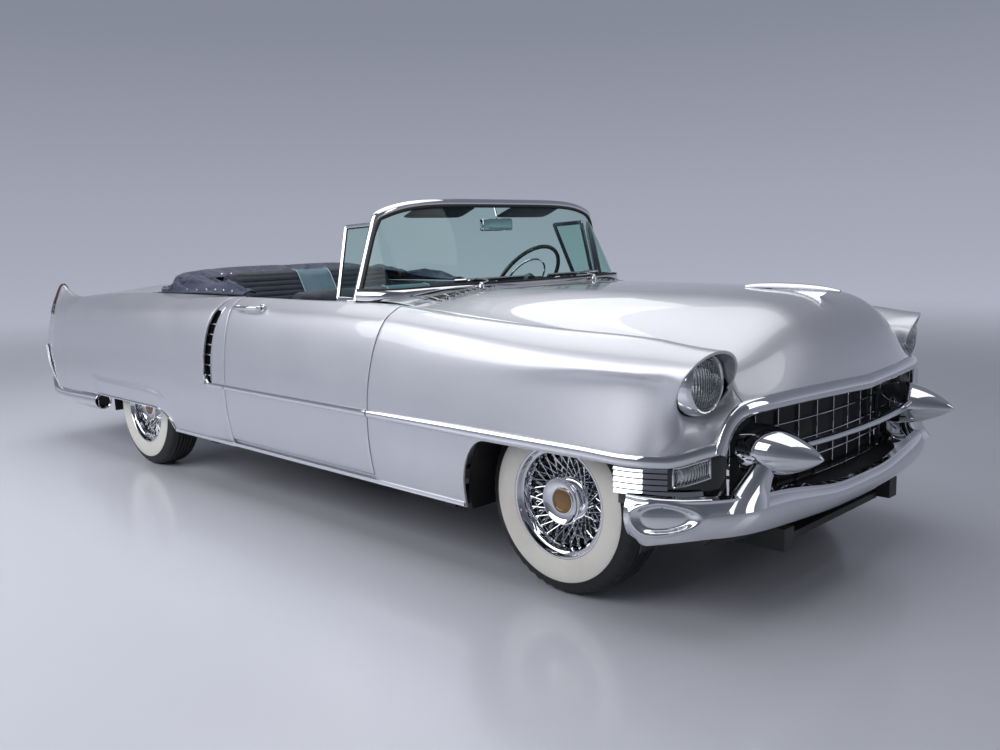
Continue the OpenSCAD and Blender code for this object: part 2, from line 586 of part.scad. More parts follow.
module rear_axle() {
  color("slategray") {
    at_y(xr, -track_r / 2 + 60, tyre_r, 45, track_r - 120);
    at_y(xr, -track_r / 2 - 50, tyre_r, spindle_r, track_r + 100);
    at_y(xr, -110, tyre_r, 140, 220);
    at_x(xr, 0, tyre_r - 52, 60, 260);
    both() {
      box([xr - 40, 545, tyre_r + 30], [xr + 40, 605, tyre_r + 62]);
      box([xr - 620, 545, tyre_r + 62], [xr + 560, 605, tyre_r + 92]);
      box([xr + 400, 476, tyre_r + 62], [xr + 450, 545, tyre_r + 92]);
      box([xr - 620, 476, tyre_r + 62], [xr - 560, 545, tyre_r + 92]);
    }
  }
}
module exhaust() {
  color("slategray") both() {
    at_x(xr - 1180, 560, 300, 26, 700);
    at_x(xr - 560, 560, 300, 60, 440);
    box([xr - 700, 534, 300], [xr - 690, 545, 400]);
    box([xr - 700, 476, 396], [xr - 690, 545, 406]);
  }
}
module fuel_tank() {
  color("slategray") box([xr - 1230, -400, 300], [xr - 700, 400, 472]);
}

// Seats, dashboard and steering
module bench(xc, z0, zt, half, lean, deep) {
  translate([0, half, 0]) rotate([90, 0, 0]) linear_extrude(2 * half) {
    hull() for (p = [[xc, z0 + 60], [xc + deep, z0 + 90]]) translate(p) circle(r = 60, $fn = 32);
    hull() for (p = [[xc - 20, z0 + 130, 68], [xc - lean, zt - 55, 55]])
      translate([p[0], p[1]]) circle(r = p[2], $fn = 32);
  }
}
module front_seat() {
  color("navy") bench(xf - 1750, floor_z + 110, 1070, door_in - bench_gap, 110, 480);
  color("dimgray") for (s = [-1, 1]) box([xf - 1720, s * 420 - 40, floor_z], [xf - 1260, s * 420 + 40, floor_z + 150]);
}
module rear_seat() {
  color("navy") bench(xr + 830, floor_z + 122, 1150, hw - 428, 330, 380);
  color("dimgray") box([xr + 780, -560, floor_z], [xr + 1200, 560, floor_z + 150]);
}
module side_trims() {
  color("lightsteelblue") both() {
    box([xr + 700, 700, floor_z], [door_x0 - 20, 724, belt_z - 60]);
    box([door_x0 - 30, 724, floor_z], [door_x0 - 20, hw - 72, belt_z - 130]);
  }
}
module dashboard() {
  color("lightsteelblue") {
    box([xf - 1060, -dash_y, belt_z - 190], [xf - 890, dash_y, belt_z + 15]);
    box([xf - 890, -630, belt_z - 150], [xf - 806, 630, belt_z - 34]);
    box([xf - 890, -dash_y, belt_z - 34], [xf - 836, dash_y, belt_z + 15]);
  }
}
module steering_column() {
  color("lightsteelblue") translate(column_c) rotate([0, 90 + column_tilt, 0]) {
    translate([0, 0, 40])
      cylinder(r = 26, h = (224 - seam - 26 * sin(column_tilt)) / cos(column_tilt) - 40);
    cylinder(r = 9, h = 60);
  }
}
module steering_wheel() {
  color("black") translate(column_c) rotate([0, 90 + column_tilt, 0]) difference() {
    union() {
      rotate_extrude() translate([steer_r, 0]) circle(r = 11);
      translate([0, 0, -8]) cylinder(r = 42, h = 40);
      for (a = [0, 180]) rotate([0, 0, a + 90]) translate([0, -14, 2]) cube([steer_r, 28, 10]);
    }
    translate([0, 0, -1]) cylinder(r = 9 + run, h = 60);
  }
}

// Cover over the folded top: a rolled band round the back of the cabin
boot_out = [[xr + 1060, hw - 219, 8], [xr + 700, hw - 220, 8], [xr + 260, hw - 226, 2], [xr + 80, hw - 240, -2],
  [xr - 40, hw - 380, 4], [deck_x1 + 3, hw - 640, 14], [deck_x1 + 0.4, 0, 18]];
boot_in = [[xr + 1040, hw - 300, 12], [xr + 760, hw - 316, 34], [xr + 560, hw - 345, 64], [xr + 430, hw - 400, 78],
  [xr + 418, hw - 520, 80], [xr + 416, hw - 700, 80], [xr + 416, 0, 80]];
boot_h = [30, 62, 72, 64, 56, 52, 50];
function boot_pt(i, v) =
  let (s = i < 0 ? -1 : 1, k = 6 - abs(i) * 6, a = curve(boot_in, k), b = curve(boot_out, k), p = mix(a, b, v))
  [p[0], s * p[1], belt_z + p[2] + curve(boot_h, k) * pow(sin(180 * min(1, max(0, v))), 0.7)];
module top_boot() {
  color("navy") panel(
    [for (k = [0:32]) [for (j = [0:8]) boot_pt(1 - k / 16, 1 - j / 8)]],
    [for (k = [0:32]) [for (j = [0:8]) let (p = boot_pt(1 - k / 16, 1 - j / 8)) [p[0], p[1], belt_z - 60]]]);
}

// Wheels: a tyre on a rim with wire-wheel shape, its bore running on the spindle
module tyre_body() {
  h = tyre_w / 2;
  rotate([90, 0, 0]) rotate_extrude()
    polygon([[rim_r, -h * 0.74], [rim_r + 12, -h * 0.86], [rim_r + 50, -h * 0.98], [rim_r + 86, -h],
      [tyre_r - 40, -h * 0.94], [tyre_r - 12, -h * 0.82], [tyre_r - 3, -h * 0.7], [tyre_r, -h * 0.5],
      [tyre_r, h * 0.5], [tyre_r - 3, h * 0.7], [tyre_r - 12, h * 0.82], [tyre_r - 40, h * 0.94],
      [rim_r + 86, h], [rim_r + 50, h * 0.98], [rim_r + 12, h * 0.86], [rim_r, h * 0.74]]);
}
module wheel_body() {
  h = tyre_w / 2;
  rotate([-90, 0, 0]) difference() {
    rotate_extrude() polygon([[0, -30], [62, -30], [62, 0], [150, -8], [168, -30], [176, -h * 0.74], [rim_r, -h * 0.74],
      [rim_r, h * 0.74], [rim_r + 10, h * 0.84], [rim_r + 2, h * 0.9], [178, h * 0.7], [160, h * 0.3], [90, h * 0.5],
      [86, h * 0.66], [70, h * 0.8], [0, h * 0.86]]);
    translate([0, 0, -60]) cylinder(r = spindle_r + run, h = 60 + 56);
  }
}
module wheel_at(x, y) { translate([x, y, tyre_r]) children(); }
module tyre_front_right() { color("black") mirror([0, 1, 0]) wheel_at(xf, track_f / 2) tyre_body(); }
module tyre_front_left() { color("black") wheel_at(xf, track_f / 2) tyre_body(); }
module tyre_rear_right() { color("black") mirror([0, 1, 0]) wheel_at(xr, track_r / 2) tyre_body(); }
module tyre_rear_left() { color("black") wheel_at(xr, track_r / 2) tyre_body(); }
module wheel_front_right() { color("gainsboro") mirror([0, 1, 0]) wheel_at(xf, track_f / 2) wheel_body(); }
module wheel_front_left() { color("gainsboro") wheel_at(xf, track_f / 2) wheel_body(); }
module wheel_rear_right() { color("gainsboro") mirror([0, 1, 0]) wheel_at(xr, track_r / 2) wheel_body(); }
module wheel_rear_left() { color("gainsboro") wheel_at(xr, track_r / 2) wheel_body(); }

chassis_frame();
floor_pan();
sills();
cowl();
hinge_posts();
front_fender_right();
front_fender_left();
rear_quarter_right();
rear_quarter_left();
tail_panel();
rear_deck();
hood();
hood_hinges();
trunk_lid();
trunk_hinges();
door_right();
door_left();
windscreen_frame();
windscreen_glass();
vent_frame_right();
vent_frame_left();
vent_glass_right();
vent_glass_left();
grille();
grille_surround();
front_bumper();
rear_bumper();
louvre_panels();
headlamps();
tail_lamps();
front_seat();
rear_seat();
side_trims();
dashboard();
steering_column();
steering_wheel();
top_boot();
engine();
radiator();
propshaft();
front_suspension();
knuckle_right();
knuckle_left();
rear_axle();
exhaust();
fuel_tank();
tyre_front_right();
tyre_front_left();
tyre_rear_right();
tyre_rear_left();
wheel_front_right();
wheel_front_left();
wheel_rear_right();
wheel_rear_left();
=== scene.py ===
# %% [markdown]
# A 1950s convertible, dressed for the camera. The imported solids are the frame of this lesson: they
# carry the joints and the true sizes. Every panel that shows is made again as a smooth mesh in the
# same place, from nearly the same section lines, and then painted, plated or upholstered.

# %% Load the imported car
import json
import math
import bpy
from mathutils import Matrix, Vector


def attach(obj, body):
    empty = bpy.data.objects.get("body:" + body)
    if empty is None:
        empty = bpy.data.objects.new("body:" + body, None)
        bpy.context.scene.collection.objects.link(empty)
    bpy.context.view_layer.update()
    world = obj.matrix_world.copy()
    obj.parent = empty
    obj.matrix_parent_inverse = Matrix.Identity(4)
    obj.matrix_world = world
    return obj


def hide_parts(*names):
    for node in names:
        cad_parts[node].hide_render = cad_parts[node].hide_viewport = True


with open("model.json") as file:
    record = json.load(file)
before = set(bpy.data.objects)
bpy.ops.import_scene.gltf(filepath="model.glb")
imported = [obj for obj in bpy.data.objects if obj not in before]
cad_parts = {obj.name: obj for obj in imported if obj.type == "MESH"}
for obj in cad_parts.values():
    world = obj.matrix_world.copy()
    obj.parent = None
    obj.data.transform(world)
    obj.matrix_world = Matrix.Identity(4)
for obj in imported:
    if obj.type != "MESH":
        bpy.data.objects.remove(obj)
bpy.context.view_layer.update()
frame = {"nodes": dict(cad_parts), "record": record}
bpy.ops.object.select_all(action="DESELECT")
print("packed nodes:", len(frame["nodes"]))

# %% [markdown]
# The camera stands at the right front corner of the car, a little above the fender tops. Its place,
# turn and lens were worked out from the wheels, lamps and guards in the photograph, so it is set by
# numbers and not by eye. Blender's camera looks down its own -Z, so the view is built from three
# axes.

# %% Camera
CAMERA_PLACE = Vector((4.176, -3.388, 1.325))
CAMERA_YAW = math.radians(134.78)
CAMERA_PITCH = math.radians(-8.34)
CAMERA_ROLL = math.radians(-1.41)
FOCAL_PIXELS = 945.4
IMAGE_WIDTH = 1000

ahead = Vector((math.cos(CAMERA_YAW) * math.cos(CAMERA_PITCH),
                math.sin(CAMERA_YAW) * math.cos(CAMERA_PITCH), math.sin(CAMERA_PITCH)))
right = ahead.cross(Vector((0, 0, 1))).normalized()
up = right.cross(ahead)
rolled_right = math.cos(CAMERA_ROLL) * right + math.sin(CAMERA_ROLL) * up
rolled_up = math.cos(CAMERA_ROLL) * up - math.sin(CAMERA_ROLL) * right
bpy.ops.object.camera_add(location=CAMERA_PLACE)
camera = bpy.context.active_object
camera.rotation_euler = Matrix((rolled_right, rolled_up, -ahead)).transposed().to_euler()
camera.data.sensor_width = 36
camera.data.lens = 36 * FOCAL_PIXELS / IMAGE_WIDTH
camera.data.clip_end = 200
bpy.context.scene.camera = camera
bpy.context.scene.view_settings.view_transform = "Standard"
print("lens", round(camera.data.lens, 2), "mm")

# %% [markdown]
# The studio: a pale polished floor, one wide soft box over the car, a long one by the near side and
# weak ones in front and behind. Chrome only looks like chrome when it has bright and dark things to
# mirror, so the world is a smooth grade from a bright horizon to a grey ceiling, which the camera and
# mirrors see; mirrors also see a dimmer room on the side where the photographer stands. Soft light on
# matt surfaces comes from an even grey instead.

# %% World and lamps
def link(tree, source, target):
    tree.links.new(source, target)


def ramp_of(tree, stops):
    """A colour ramp node with the given (place, grey or colour) stops."""
    ramp = tree.nodes.new("ShaderNodeValToRGB")
    while len(ramp.color_ramp.elements) < len(stops):
        ramp.color_ramp.elements.new(0.5)
    for element, (place, value) in zip(ramp.color_ramp.elements, stops):
        element.position = place
        element.color = (*value, 1) if isinstance(value, tuple) else (value, value, value, 1)
    return ramp


HORIZON = (0.36, 0.375, 0.45)
CEILING = (0.185, 0.20, 0.245)
FLOOR_GLOW = (0.52, 0.54, 0.63)

world = bpy.data.worlds.new("studio")
bpy.context.scene.world = world
world.use_nodes = True
sky = world.node_tree
sky.nodes.clear()
direction = sky.nodes.new("ShaderNodeTexCoord")
parts = sky.nodes.new("ShaderNodeSeparateXYZ")
lift = sky.nodes.new("ShaderNodeMapRange")
lift.inputs["From Min"].default_value = -1
grade = ramp_of(sky, [(0.0, FLOOR_GLOW), (0.42, (0.50, 0.52, 0.61)), (0.49, (0.39, 0.405, 0.485)),
                      (0.52, HORIZON), (0.60, (0.242, 0.262, 0.323)), (0.75, CEILING),
                      (1.0, (0.20, 0.21, 0.25))])
seen = sky.nodes.new("ShaderNodeBackground")
even = sky.nodes.new("ShaderNodeBackground")
even.inputs["Color"].default_value = (0.50, 0.51, 0.545, 1)
even.inputs["Strength"].default_value = 0.50
path = sky.nodes.new("ShaderNodeLightPath")
sharp = sky.nodes.new("ShaderNodeMath")
sharp.operation = "ADD"
also = sky.nodes.new("ShaderNodeMath")
also.operation = "ADD"
also.use_clamp = True
choose = sky.nodes.new("ShaderNodeMixShader")
out = sky.nodes.new("ShaderNodeOutputWorld")
link(sky, direction.outputs["Generated"], parts.inputs["Vector"])
link(sky, parts.outputs["Z"], lift.inputs["Value"])
link(sky, lift.outputs["Result"], grade.inputs["Fac"])
toward = sky.nodes.new("ShaderNodeVectorMath")
toward.operation = "DOT_PRODUCT"
toward.inputs[1].default_value = (0.78, -0.62, 0.0)
dim = sky.nodes.new("ShaderNodeMapRange")
dim.interpolation_type = "SMOOTHSTEP"
dim.inputs["From Min"].default_value = 0.15
dim.inputs["From Max"].default_value = 0.85
dim.inputs["To Max"].default_value = 0.62
link(sky, direction.outputs["Generated"], toward.inputs[0])
link(sky, toward.outputs["Value"], dim.inputs["Value"])
unlit = sky.nodes.new("ShaderNodeMath")
unlit.operation = "MULTIPLY"
link(sky, dim.outputs["Result"], unlit.inputs[0])
darker = sky.nodes.new("ShaderNodeMix")
darker.data_type = "RGBA"
darker.inputs[7].default_value = (0.05, 0.052, 0.06, 1)
link(sky, unlit.outputs["Value"], darker.inputs[0])
link(sky, grade.outputs["Color"], darker.inputs[6])
link(sky, darker.outputs[2], seen.inputs["Color"])
link(sky, path.outputs["Is Glossy Ray"], unlit.inputs[1])
link(sky, path.outputs["Is Camera Ray"], sharp.inputs[0])
link(sky, path.outputs["Is Glossy Ray"], sharp.inputs[1])
link(sky, sharp.outputs["Value"], also.inputs[0])
link(sky, path.outputs["Is Transmission Ray"], also.inputs[1])
link(sky, also.outputs["Value"], choose.inputs["Fac"])
link(sky, even.outputs["Background"], choose.inputs[1])
link(sky, seen.outputs["Background"], choose.inputs[2])
link(sky, choose.outputs["Shader"], out.inputs["Surface"])


def soft_box(name, place, aim, size, power, color=(1, 1, 1)):
    """An area lamp of size (wide, long) that faces the point aim."""
    bpy.ops.object.light_add(type="AREA", location=place)
    lamp = bpy.context.active_object
    lamp.name = name
    lamp.data.shape = "RECTANGLE"
    lamp.data.size, lamp.data.size_y = size
    lamp.data.energy = power
    lamp.data.color = color
    lamp.rotation_euler = (Vector(aim) - Vector(place)).to_track_quat("-Z", "Y").to_euler()
    return lamp


soft_box("box_overhead", (0.0, -0.2, 4.4), (0.0, -0.2, 0.5), (8.0, 4.4), 140)
soft_box("box_near", (-1.2, -5.2, 3.6), (-0.8, -0.9, 0.8), (8.0, 3.0), 210)
soft_box("box_front", (7.5, 1.2, 3.4), (2.0, 0, 0.6), (1.4, 4.0), 30)
soft_box("box_rear", (-4.4, 2.8, 6.4), (-1.5, 0, 0.6), (5.0, 2.0), 55)

# %% [markdown]
# The studio floor is pale and polished, so the car stands on its own faint mirror image. The noise keeps the
# gloss from being perfectly even, as on a real painted floor. Its colour grades along a diagonal from pale
# to a darker grey: painted shade, for light falling off across the floor.

# %% Material helpers and the floor
def new_material(name):
    """A node material with an empty Principled shader: returns the material, its tree and the shader."""
    material = bpy.data.materials.new(name)
    material.use_nodes = True
    return material, material.node_tree, material.node_tree.nodes["Principled BSDF"]


def set_shader(shader, **values):
    for name, value in values.items():
        socket = shader.inputs[name.replace("_", " ")]
        socket.default_value = (*value, 1) if isinstance(value, tuple) else value


def new_group(name, inputs, outputs):
    """A shader node group; inputs are (name, value) pairs, outputs are (name, socket kind) pairs."""
    group = bpy.data.node_groups.new(name, "ShaderNodeTree")
    for label, value in inputs:
        kind = "NodeSocketColor" if isinstance(value, tuple) else "NodeSocketFloat"
        socket = group.interface.new_socket(label, in_out="INPUT", socket_type=kind)
        socket.default_value = (*value, 1) if isinstance(value, tuple) else value
    for label, kind in outputs:
        group.interface.new_socket(label, in_out="OUTPUT", socket_type="NodeSocket" + kind)
    return group, group.nodes.new("NodeGroupInput"), group.nodes.new("NodeGroupOutput")


def place_group(tree, group, **values):
    """The group as a node of a material, with its own values."""
    node = tree.nodes.new("ShaderNodeGroup")
    node.node_tree = group
    for name, value in values.items():
        socket = node.inputs[name.replace("_", " ")]
        socket.default_value = (*value, 1) if isinstance(value, tuple) else value
    return node


def math_node(tree, operation, *values):
    node = tree.nodes.new("ShaderNodeMath")
    node.operation = operation
    for socket, value in zip(node.inputs, values):
        if isinstance(value, (int, float)):
            socket.default_value = value
        else:
            link(tree, value, socket)
    return node.outputs["Value"]


def mix_colors(tree, factor, first, second):
    node = tree.nodes.new("ShaderNodeMix")
    node.data_type = "RGBA"
    for socket, value in ((node.inputs[0], factor), (node.inputs[6], first), (node.inputs[7], second)):
        if isinstance(value, tuple):
            socket.default_value = (*value, 1)
        elif isinstance(value, (int, float)):
            socket.default_value = value
        else:
            link(tree, value, socket)
    return node.outputs[2]


def noise_of(tree, vector, scale, detail=3.0):
    node = tree.nodes.new("ShaderNodeTexNoise")
    node.inputs["Scale"].default_value = scale
    node.inputs["Detail"].default_value = detail
    link(tree, vector, node.inputs["Vector"])
    return node.outputs["Fac"]


def object_coords(tree):
    return tree.nodes.new("ShaderNodeTexCoord").outputs["Object"]


def bump_into(tree, shader, height, strength, distance):
    bump = tree.nodes.new("ShaderNodeBump")
    bump.inputs["Strength"].default_value = strength
    bump.inputs["Distance"].default_value = distance
    link(tree, height, bump.inputs["Height"])
    link(tree, bump.outputs["Normal"], shader.inputs["Normal"])


floor_paint, tree, shader = new_material("floor_paint")
set_shader(shader, Specular_IOR_Level=0.5, Coat_Weight=0.22, Coat_Roughness=0.11)
where = object_coords(tree)
cloud = noise_of(tree, where, 0.9)
link(tree, math_node(tree, "MULTIPLY_ADD", cloud, 0.04, 0.22), shader.inputs["Roughness"])
place = tree.nodes.new("ShaderNodeSeparateXYZ")
link(tree, where, place.inputs["Vector"])
slant = math_node(tree, "ADD", place.outputs["X"], place.outputs["Y"])
# Painted shade: the base colour darkens along x + y, from pale to mid grey, for light falling off across the
# floor.
shade = tree.nodes.new("ShaderNodeMapRange")
shade.interpolation_type = "SMOOTHSTEP"
shade.inputs["From Min"].default_value = -4.5
shade.inputs["From Max"].default_value = 6.0
link(tree, slant, shade.inputs["Value"])
link(tree, mix_colors(tree, shade.outputs["Result"], (0.70, 0.715, 0.80), (0.43, 0.445, 0.51)),
     shader.inputs["Base Color"])
length = tree.nodes.new("ShaderNodeVectorMath")
length.operation = "LENGTH"
link(tree, where, length.inputs[0])
fade = tree.nodes.new("ShaderNodeMapRange")
fade.interpolation_type = "SMOOTHSTEP"
fade.inputs["From Min"].default_value = 5.0
fade.inputs["From Max"].default_value = 15.0
fade.inputs["To Min"].default_value = 1.0
fade.inputs["To Max"].default_value = 0.0
link(tree, length.outputs["Value"], fade.inputs["Value"])
link(tree, fade.outputs["Result"], shader.inputs["Alpha"])
bpy.ops.mesh.primitive_circle_add(vertices=96, radius=45, fill_type="NGON", location=(0, 0, -0.0005))
floor = bpy.context.active_object
floor.name = "studio_floor"
floor.data.materials.append(floor_paint)

# %% [markdown]
# Finishes that several materials share are node groups. "surface_life" gives slow smudges and fine
# dust for polished things. "hide_grain" is the pebbled skin of leather and coated cloth, with
# creases. "cast_skin" is the rough face of cast and underbody metal.

# %% Shared effects
def build_surface_life():
    group, given, result = new_group("surface_life", [("Clean", 0.05), ("Smudged", 0.12), ("Size", 6.0)],
                                     [("Roughness", "Float"), ("Dust", "Float")])
    where = group.nodes.new("ShaderNodeTexCoord").outputs["Object"]
    broad = group.nodes.new("ShaderNodeTexNoise")
    broad.inputs["Detail"].default_value = 4
    link(group, where, broad.inputs["Vector"])
    link(group, given.outputs["Size"], broad.inputs["Scale"])
    fine = noise_of(group, where, 900, 2)
    spread = group.nodes.new("ShaderNodeMapRange")
    spread.inputs["From Min"].default_value = 0.38
    spread.inputs["From Max"].default_value = 0.72
    link(group, broad.outputs["Fac"], spread.inputs["Value"])
    link(group, given.outputs["Clean"], spread.inputs["To Min"])
    link(group, given.outputs["Smudged"], spread.inputs["To Max"])
    link(group, spread.outputs["Result"], result.inputs["Roughness"])
    link(group, math_node(group, "MULTIPLY", broad.outputs["Fac"], fine), result.inputs["Dust"])
    return group


def build_hide_grain():
    group, given, result = new_group("hide_grain", [("Color", (0.1, 0.1, 0.1)), ("Worn", (0.2, 0.2, 0.2)),
                                                    ("Grain", 420.0)],
                                     [("Color", "Color"), ("Height", "Float"), ("Roughness", "Float")])
    where = group.nodes.new("ShaderNodeTexCoord").outputs["Object"]
    cells = group.nodes.new("ShaderNodeTexVoronoi")
    cells.feature = "DISTANCE_TO_EDGE"
    link(group, where, cells.inputs["Vector"])
    link(group, given.outputs["Grain"], cells.inputs["Scale"])
    pebble = group.nodes.new("ShaderNodeMapRange")
    pebble.inputs["From Max"].default_value = 0.35
    link(group, cells.outputs["Distance"], pebble.inputs["Value"])
    slow = noise_of(group, where, 7, 4)
    crease = noise_of(group, where, 38, 5)
    height = math_node(group, "MULTIPLY_ADD", crease, 0.8, pebble.outputs["Result"])
    link(group, height, result.inputs["Height"])
    worn = group.nodes.new("ShaderNodeMapRange")
    worn.inputs["From Min"].default_value = 0.45
    worn.inputs["From Max"].default_value = 0.80
    link(group, slow, worn.inputs["Value"])
    link(group, mix_colors(group, worn.outputs["Result"], given.outputs["Color"], given.outputs["Worn"]),
         result.inputs["Color"])
    shine = group.nodes.new("ShaderNodeMapRange")
    shine.inputs["To Min"].default_value = 0.36
    shine.inputs["To Max"].default_value = 0.58
    link(group, crease, shine.inputs["Value"])
    link(group, shine.outputs["Result"], result.inputs["Roughness"])
    return group


def build_cast_skin():
    group, given, result = new_group("cast_skin",
                                     [("Color", (0.1, 0.1, 0.1)), ("Dirt", (0.09, 0.08, 0.07))],
                                     [("Color", "Color"), ("Height", "Float"), ("Roughness", "Float")])
    where = group.nodes.new("ShaderNodeTexCoord").outputs["Object"]
    sand = noise_of(group, where, 260, 5)
    patch = noise_of(group, where, 5, 5)
    soiled = group.nodes.new("ShaderNodeMapRange")
    soiled.inputs["From Min"].default_value = 0.48
    soiled.inputs["From Max"].default_value = 0.75
    link(group, patch, soiled.inputs["Value"])
    link(group, mix_colors(group, soiled.outputs["Result"], given.outputs["Color"],
                           given.outputs["Dirt"]), result.inputs["Color"])
    link(group, sand, result.inputs["Height"])
    rough = group.nodes.new("ShaderNodeMapRange")
    rough.inputs["To Min"].default_value = 0.45
    rough.inputs["To Max"].default_value = 0.75
    link(group, sand, rough.inputs["Value"])
    link(group, rough.outputs["Result"], result.inputs["Roughness"])
    return group


surface_life = build_surface_life()
hide_grain = build_hide_grain()
cast_skin = build_cast_skin()
print("shared effects:", [g.name for g in bpy.data.node_groups])

# %% [markdown]
# Silver metallic paint is a metal flake base under clear lacquer: a metallic shader with fine flecks
# in its colour and a coat on top. Chrome is almost a perfect mirror, with a slow change of polish.

# %% Paint and bright metal
def polished(name, color, clean, smudged, metallic=1.0, **more):
    """A polished finish whose roughness drifts between clean and smudged."""
    material, tree, shader = new_material(name)
    set_shader(shader, Base_Color=color, Metallic=metallic, **more)
    life = place_group(tree, surface_life, Clean=clean, Smudged=smudged)
    link(tree, life.outputs["Roughness"], shader.inputs["Roughness"])
    dusty = mix_colors(tree, math_node(tree, "MULTIPLY", life.outputs["Dust"], 0.18), color,
                       tuple(0.82 * c for c in color))
    link(tree, dusty, shader.inputs["Base Color"])
    return material


def build_silver_paint():
    material, tree, shader = new_material("silver_paint")
    set_shader(shader, Metallic=0.82, Coat_Weight=1.0, Coat_Roughness=0.025, Coat_IOR=1.5)
    where = object_coords(tree)
    fleck = noise_of(tree, where, 2600, 1)
    sparkle = tree.nodes.new("ShaderNodeMapRange")
    sparkle.inputs["From Min"].default_value = 0.56
    sparkle.inputs["From Max"].default_value = 0.74
    link(tree, fleck, sparkle.inputs["Value"])
    link(tree, mix_colors(tree, sparkle.outputs["Result"], (0.575, 0.58, 0.63), (0.78, 0.785, 0.835)),
         shader.inputs["Base Color"])
    life = place_group(tree, surface_life, Clean=0.40, Smudged=0.46, Size=3.0)
    link(tree, life.outputs["Roughness"], shader.inputs["Roughness"])
    return material


silver_paint = build_silver_paint()
chrome = polished("chrome", (0.74, 0.75, 0.78), 0.02, 0.06)
satin_chrome = polished("satin_chrome", (0.62, 0.63, 0.66), 0.18, 0.28)
dark_chrome = polished("dark_chrome", (0.30, 0.30, 0.32), 0.10, 0.2)
gold_enamel = polished("gold_enamel", (0.24, 0.15, 0.07), 0.18, 0.3, metallic=0.7)
black_gloss = polished("black_gloss", (0.012, 0.012, 0.014), 0.08, 0.2, metallic=0.0, Coat_Weight=0.6)
dash_paint = polished("dash_paint", (0.10, 0.19, 0.24), 0.25, 0.38, metallic=0.15, Coat_Weight=0.5)
silver_gauge = polished("gauge_face", (0.52, 0.54, 0.56), 0.2, 0.32, metallic=0.6)

# %% [markdown]
# Black and cast metal make up the underside. Rubber, leather and coated cloth share the grained
# groups, each with its own colour and grain size.

# %% Underbody, rubber and trim finishes
def cast(name, color, dirt, metallic=0.0, bump=0.25):
    material, tree, shader = new_material(name)
    set_shader(shader, Metallic=metallic)
    skin = place_group(tree, cast_skin, Color=color, Dirt=dirt)
    link(tree, skin.outputs["Color"], shader.inputs["Base Color"])
    link(tree, skin.outputs["Roughness"], shader.inputs["Roughness"])
    bump_into(tree, shader, skin.outputs["Height"], bump, 0.0015)
    return material


def hide(name, color, worn, grain=420.0, bump=0.35, sheen=0.0):
    material, tree, shader = new_material(name)
    set_shader(shader, Sheen_Weight=sheen, Specular_IOR_Level=0.45)
    skin = place_group(tree, hide_grain, Color=color, Worn=worn, Grain=grain)
    link(tree, skin.outputs["Color"], shader.inputs["Base Color"])
    link(tree, skin.outputs["Roughness"], shader.inputs["Roughness"])
    bump_into(tree, shader, skin.outputs["Height"], bump, 0.0012)
    return material


black_metal = cast("black_metal", (0.022, 0.022, 0.024), (0.05, 0.047, 0.043))
cast_metal = cast("cast_metal", (0.16, 0.16, 0.165), (0.10, 0.09, 0.08), metallic=0.6)
tyre_rubber = cast("tyre_rubber", (0.016, 0.016, 0.017), (0.028, 0.027, 0.026), bump=0.15)
seal_rubber = cast("seal_rubber", (0.010, 0.010, 0.011), (0.02, 0.02, 0.02), bump=0.1)
whitewall = cast("whitewall", (0.74, 0.725, 0.68), (0.66, 0.63, 0.57), bump=0.05)
carpet = hide("carpet", (0.020, 0.032, 0.085), (0.03, 0.045, 0.11), grain=900.0, bump=0.9, sheen=0.3)
navy_leather = hide("navy_leather", (0.006, 0.011, 0.026), (0.012, 0.020, 0.042))
blue_leather = hide("blue_leather", (0.085, 0.165, 0.215), (0.12, 0.21, 0.26))
pale_piping = hide("pale_piping", (0.30, 0.42, 0.48), (0.36, 0.48, 0.53))
navy_vinyl = hide("navy_vinyl", (0.014, 0.026, 0.066), (0.036, 0.056, 0.115), grain=700.0, bump=0.5,
                  sheen=0.15)

# %% [markdown]
# Window glass is thin and slightly green. Lamp glass is clear with vertical flutes, cut into its
# surface as a wave along the car's width. Lenses are coloured glass with fine ribs.

# %% Glass
def glazing(name, color, ribs=0.0, roughness=0.0, strength=0.5, bend=1.45):
    material, tree, shader = new_material(name)
    set_shader(shader, Base_Color=color, Transmission_Weight=1.0, IOR=bend, Roughness=roughness)
    if ribs:
        wave = tree.nodes.new("ShaderNodeTexWave")
        wave.bands_direction = "Y"
        wave.inputs["Scale"].default_value = ribs
        link(tree, object_coords(tree), wave.inputs["Vector"])
        bump_into(tree, shader, wave.outputs["Fac"], strength, 0.004)
    return material


tinted_glass = glazing("tinted_glass", (0.64, 0.84, 0.79), bend=1.22)
lamp_glass = glazing("lamp_glass", (0.96, 0.98, 0.98), ribs=28.0)
clear_lens = glazing("clear_lens", (0.93, 0.94, 0.93), ribs=40.0)
red_lens = glazing("red_lens", (0.42, 0.006, 0.010), ribs=50.0, roughness=0.06, strength=0.3)
print("materials:", len(bpy.data.materials))

# %% [markdown]
# The body is drawn as it was in a design office: a few sections along the car, each given by how far
# its lines lie inside the half width and below the belt. A smooth curve runs through the sections.
# The tables start from the part's source, in millimetres. The nose and the tail were then drawn anew,
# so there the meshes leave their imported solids.

# %% Section lines of the body
MM = 0.001
HALF_WIDTH = 1013.5
FRONT_AXLE, REAR_AXLE = 1944.5, -1332.5
BELT, MOULDING, SILL = 1050.0, 600.0, 283.0
HOOD_TOP, DECK_TOP = 1098.0, 1070.0
GAP = 8.0
DOOR_FRONT, DOOR_REAR, DOOR_BOTTOM = FRONT_AXLE - 930, REAR_AXLE + 1157, SILL + 45
DOOR_INSIDE = HALF_WIDTH - 163
HOOD_REAR = FRONT_AXLE - 772
LID_FRONT = REAR_AXLE - 128

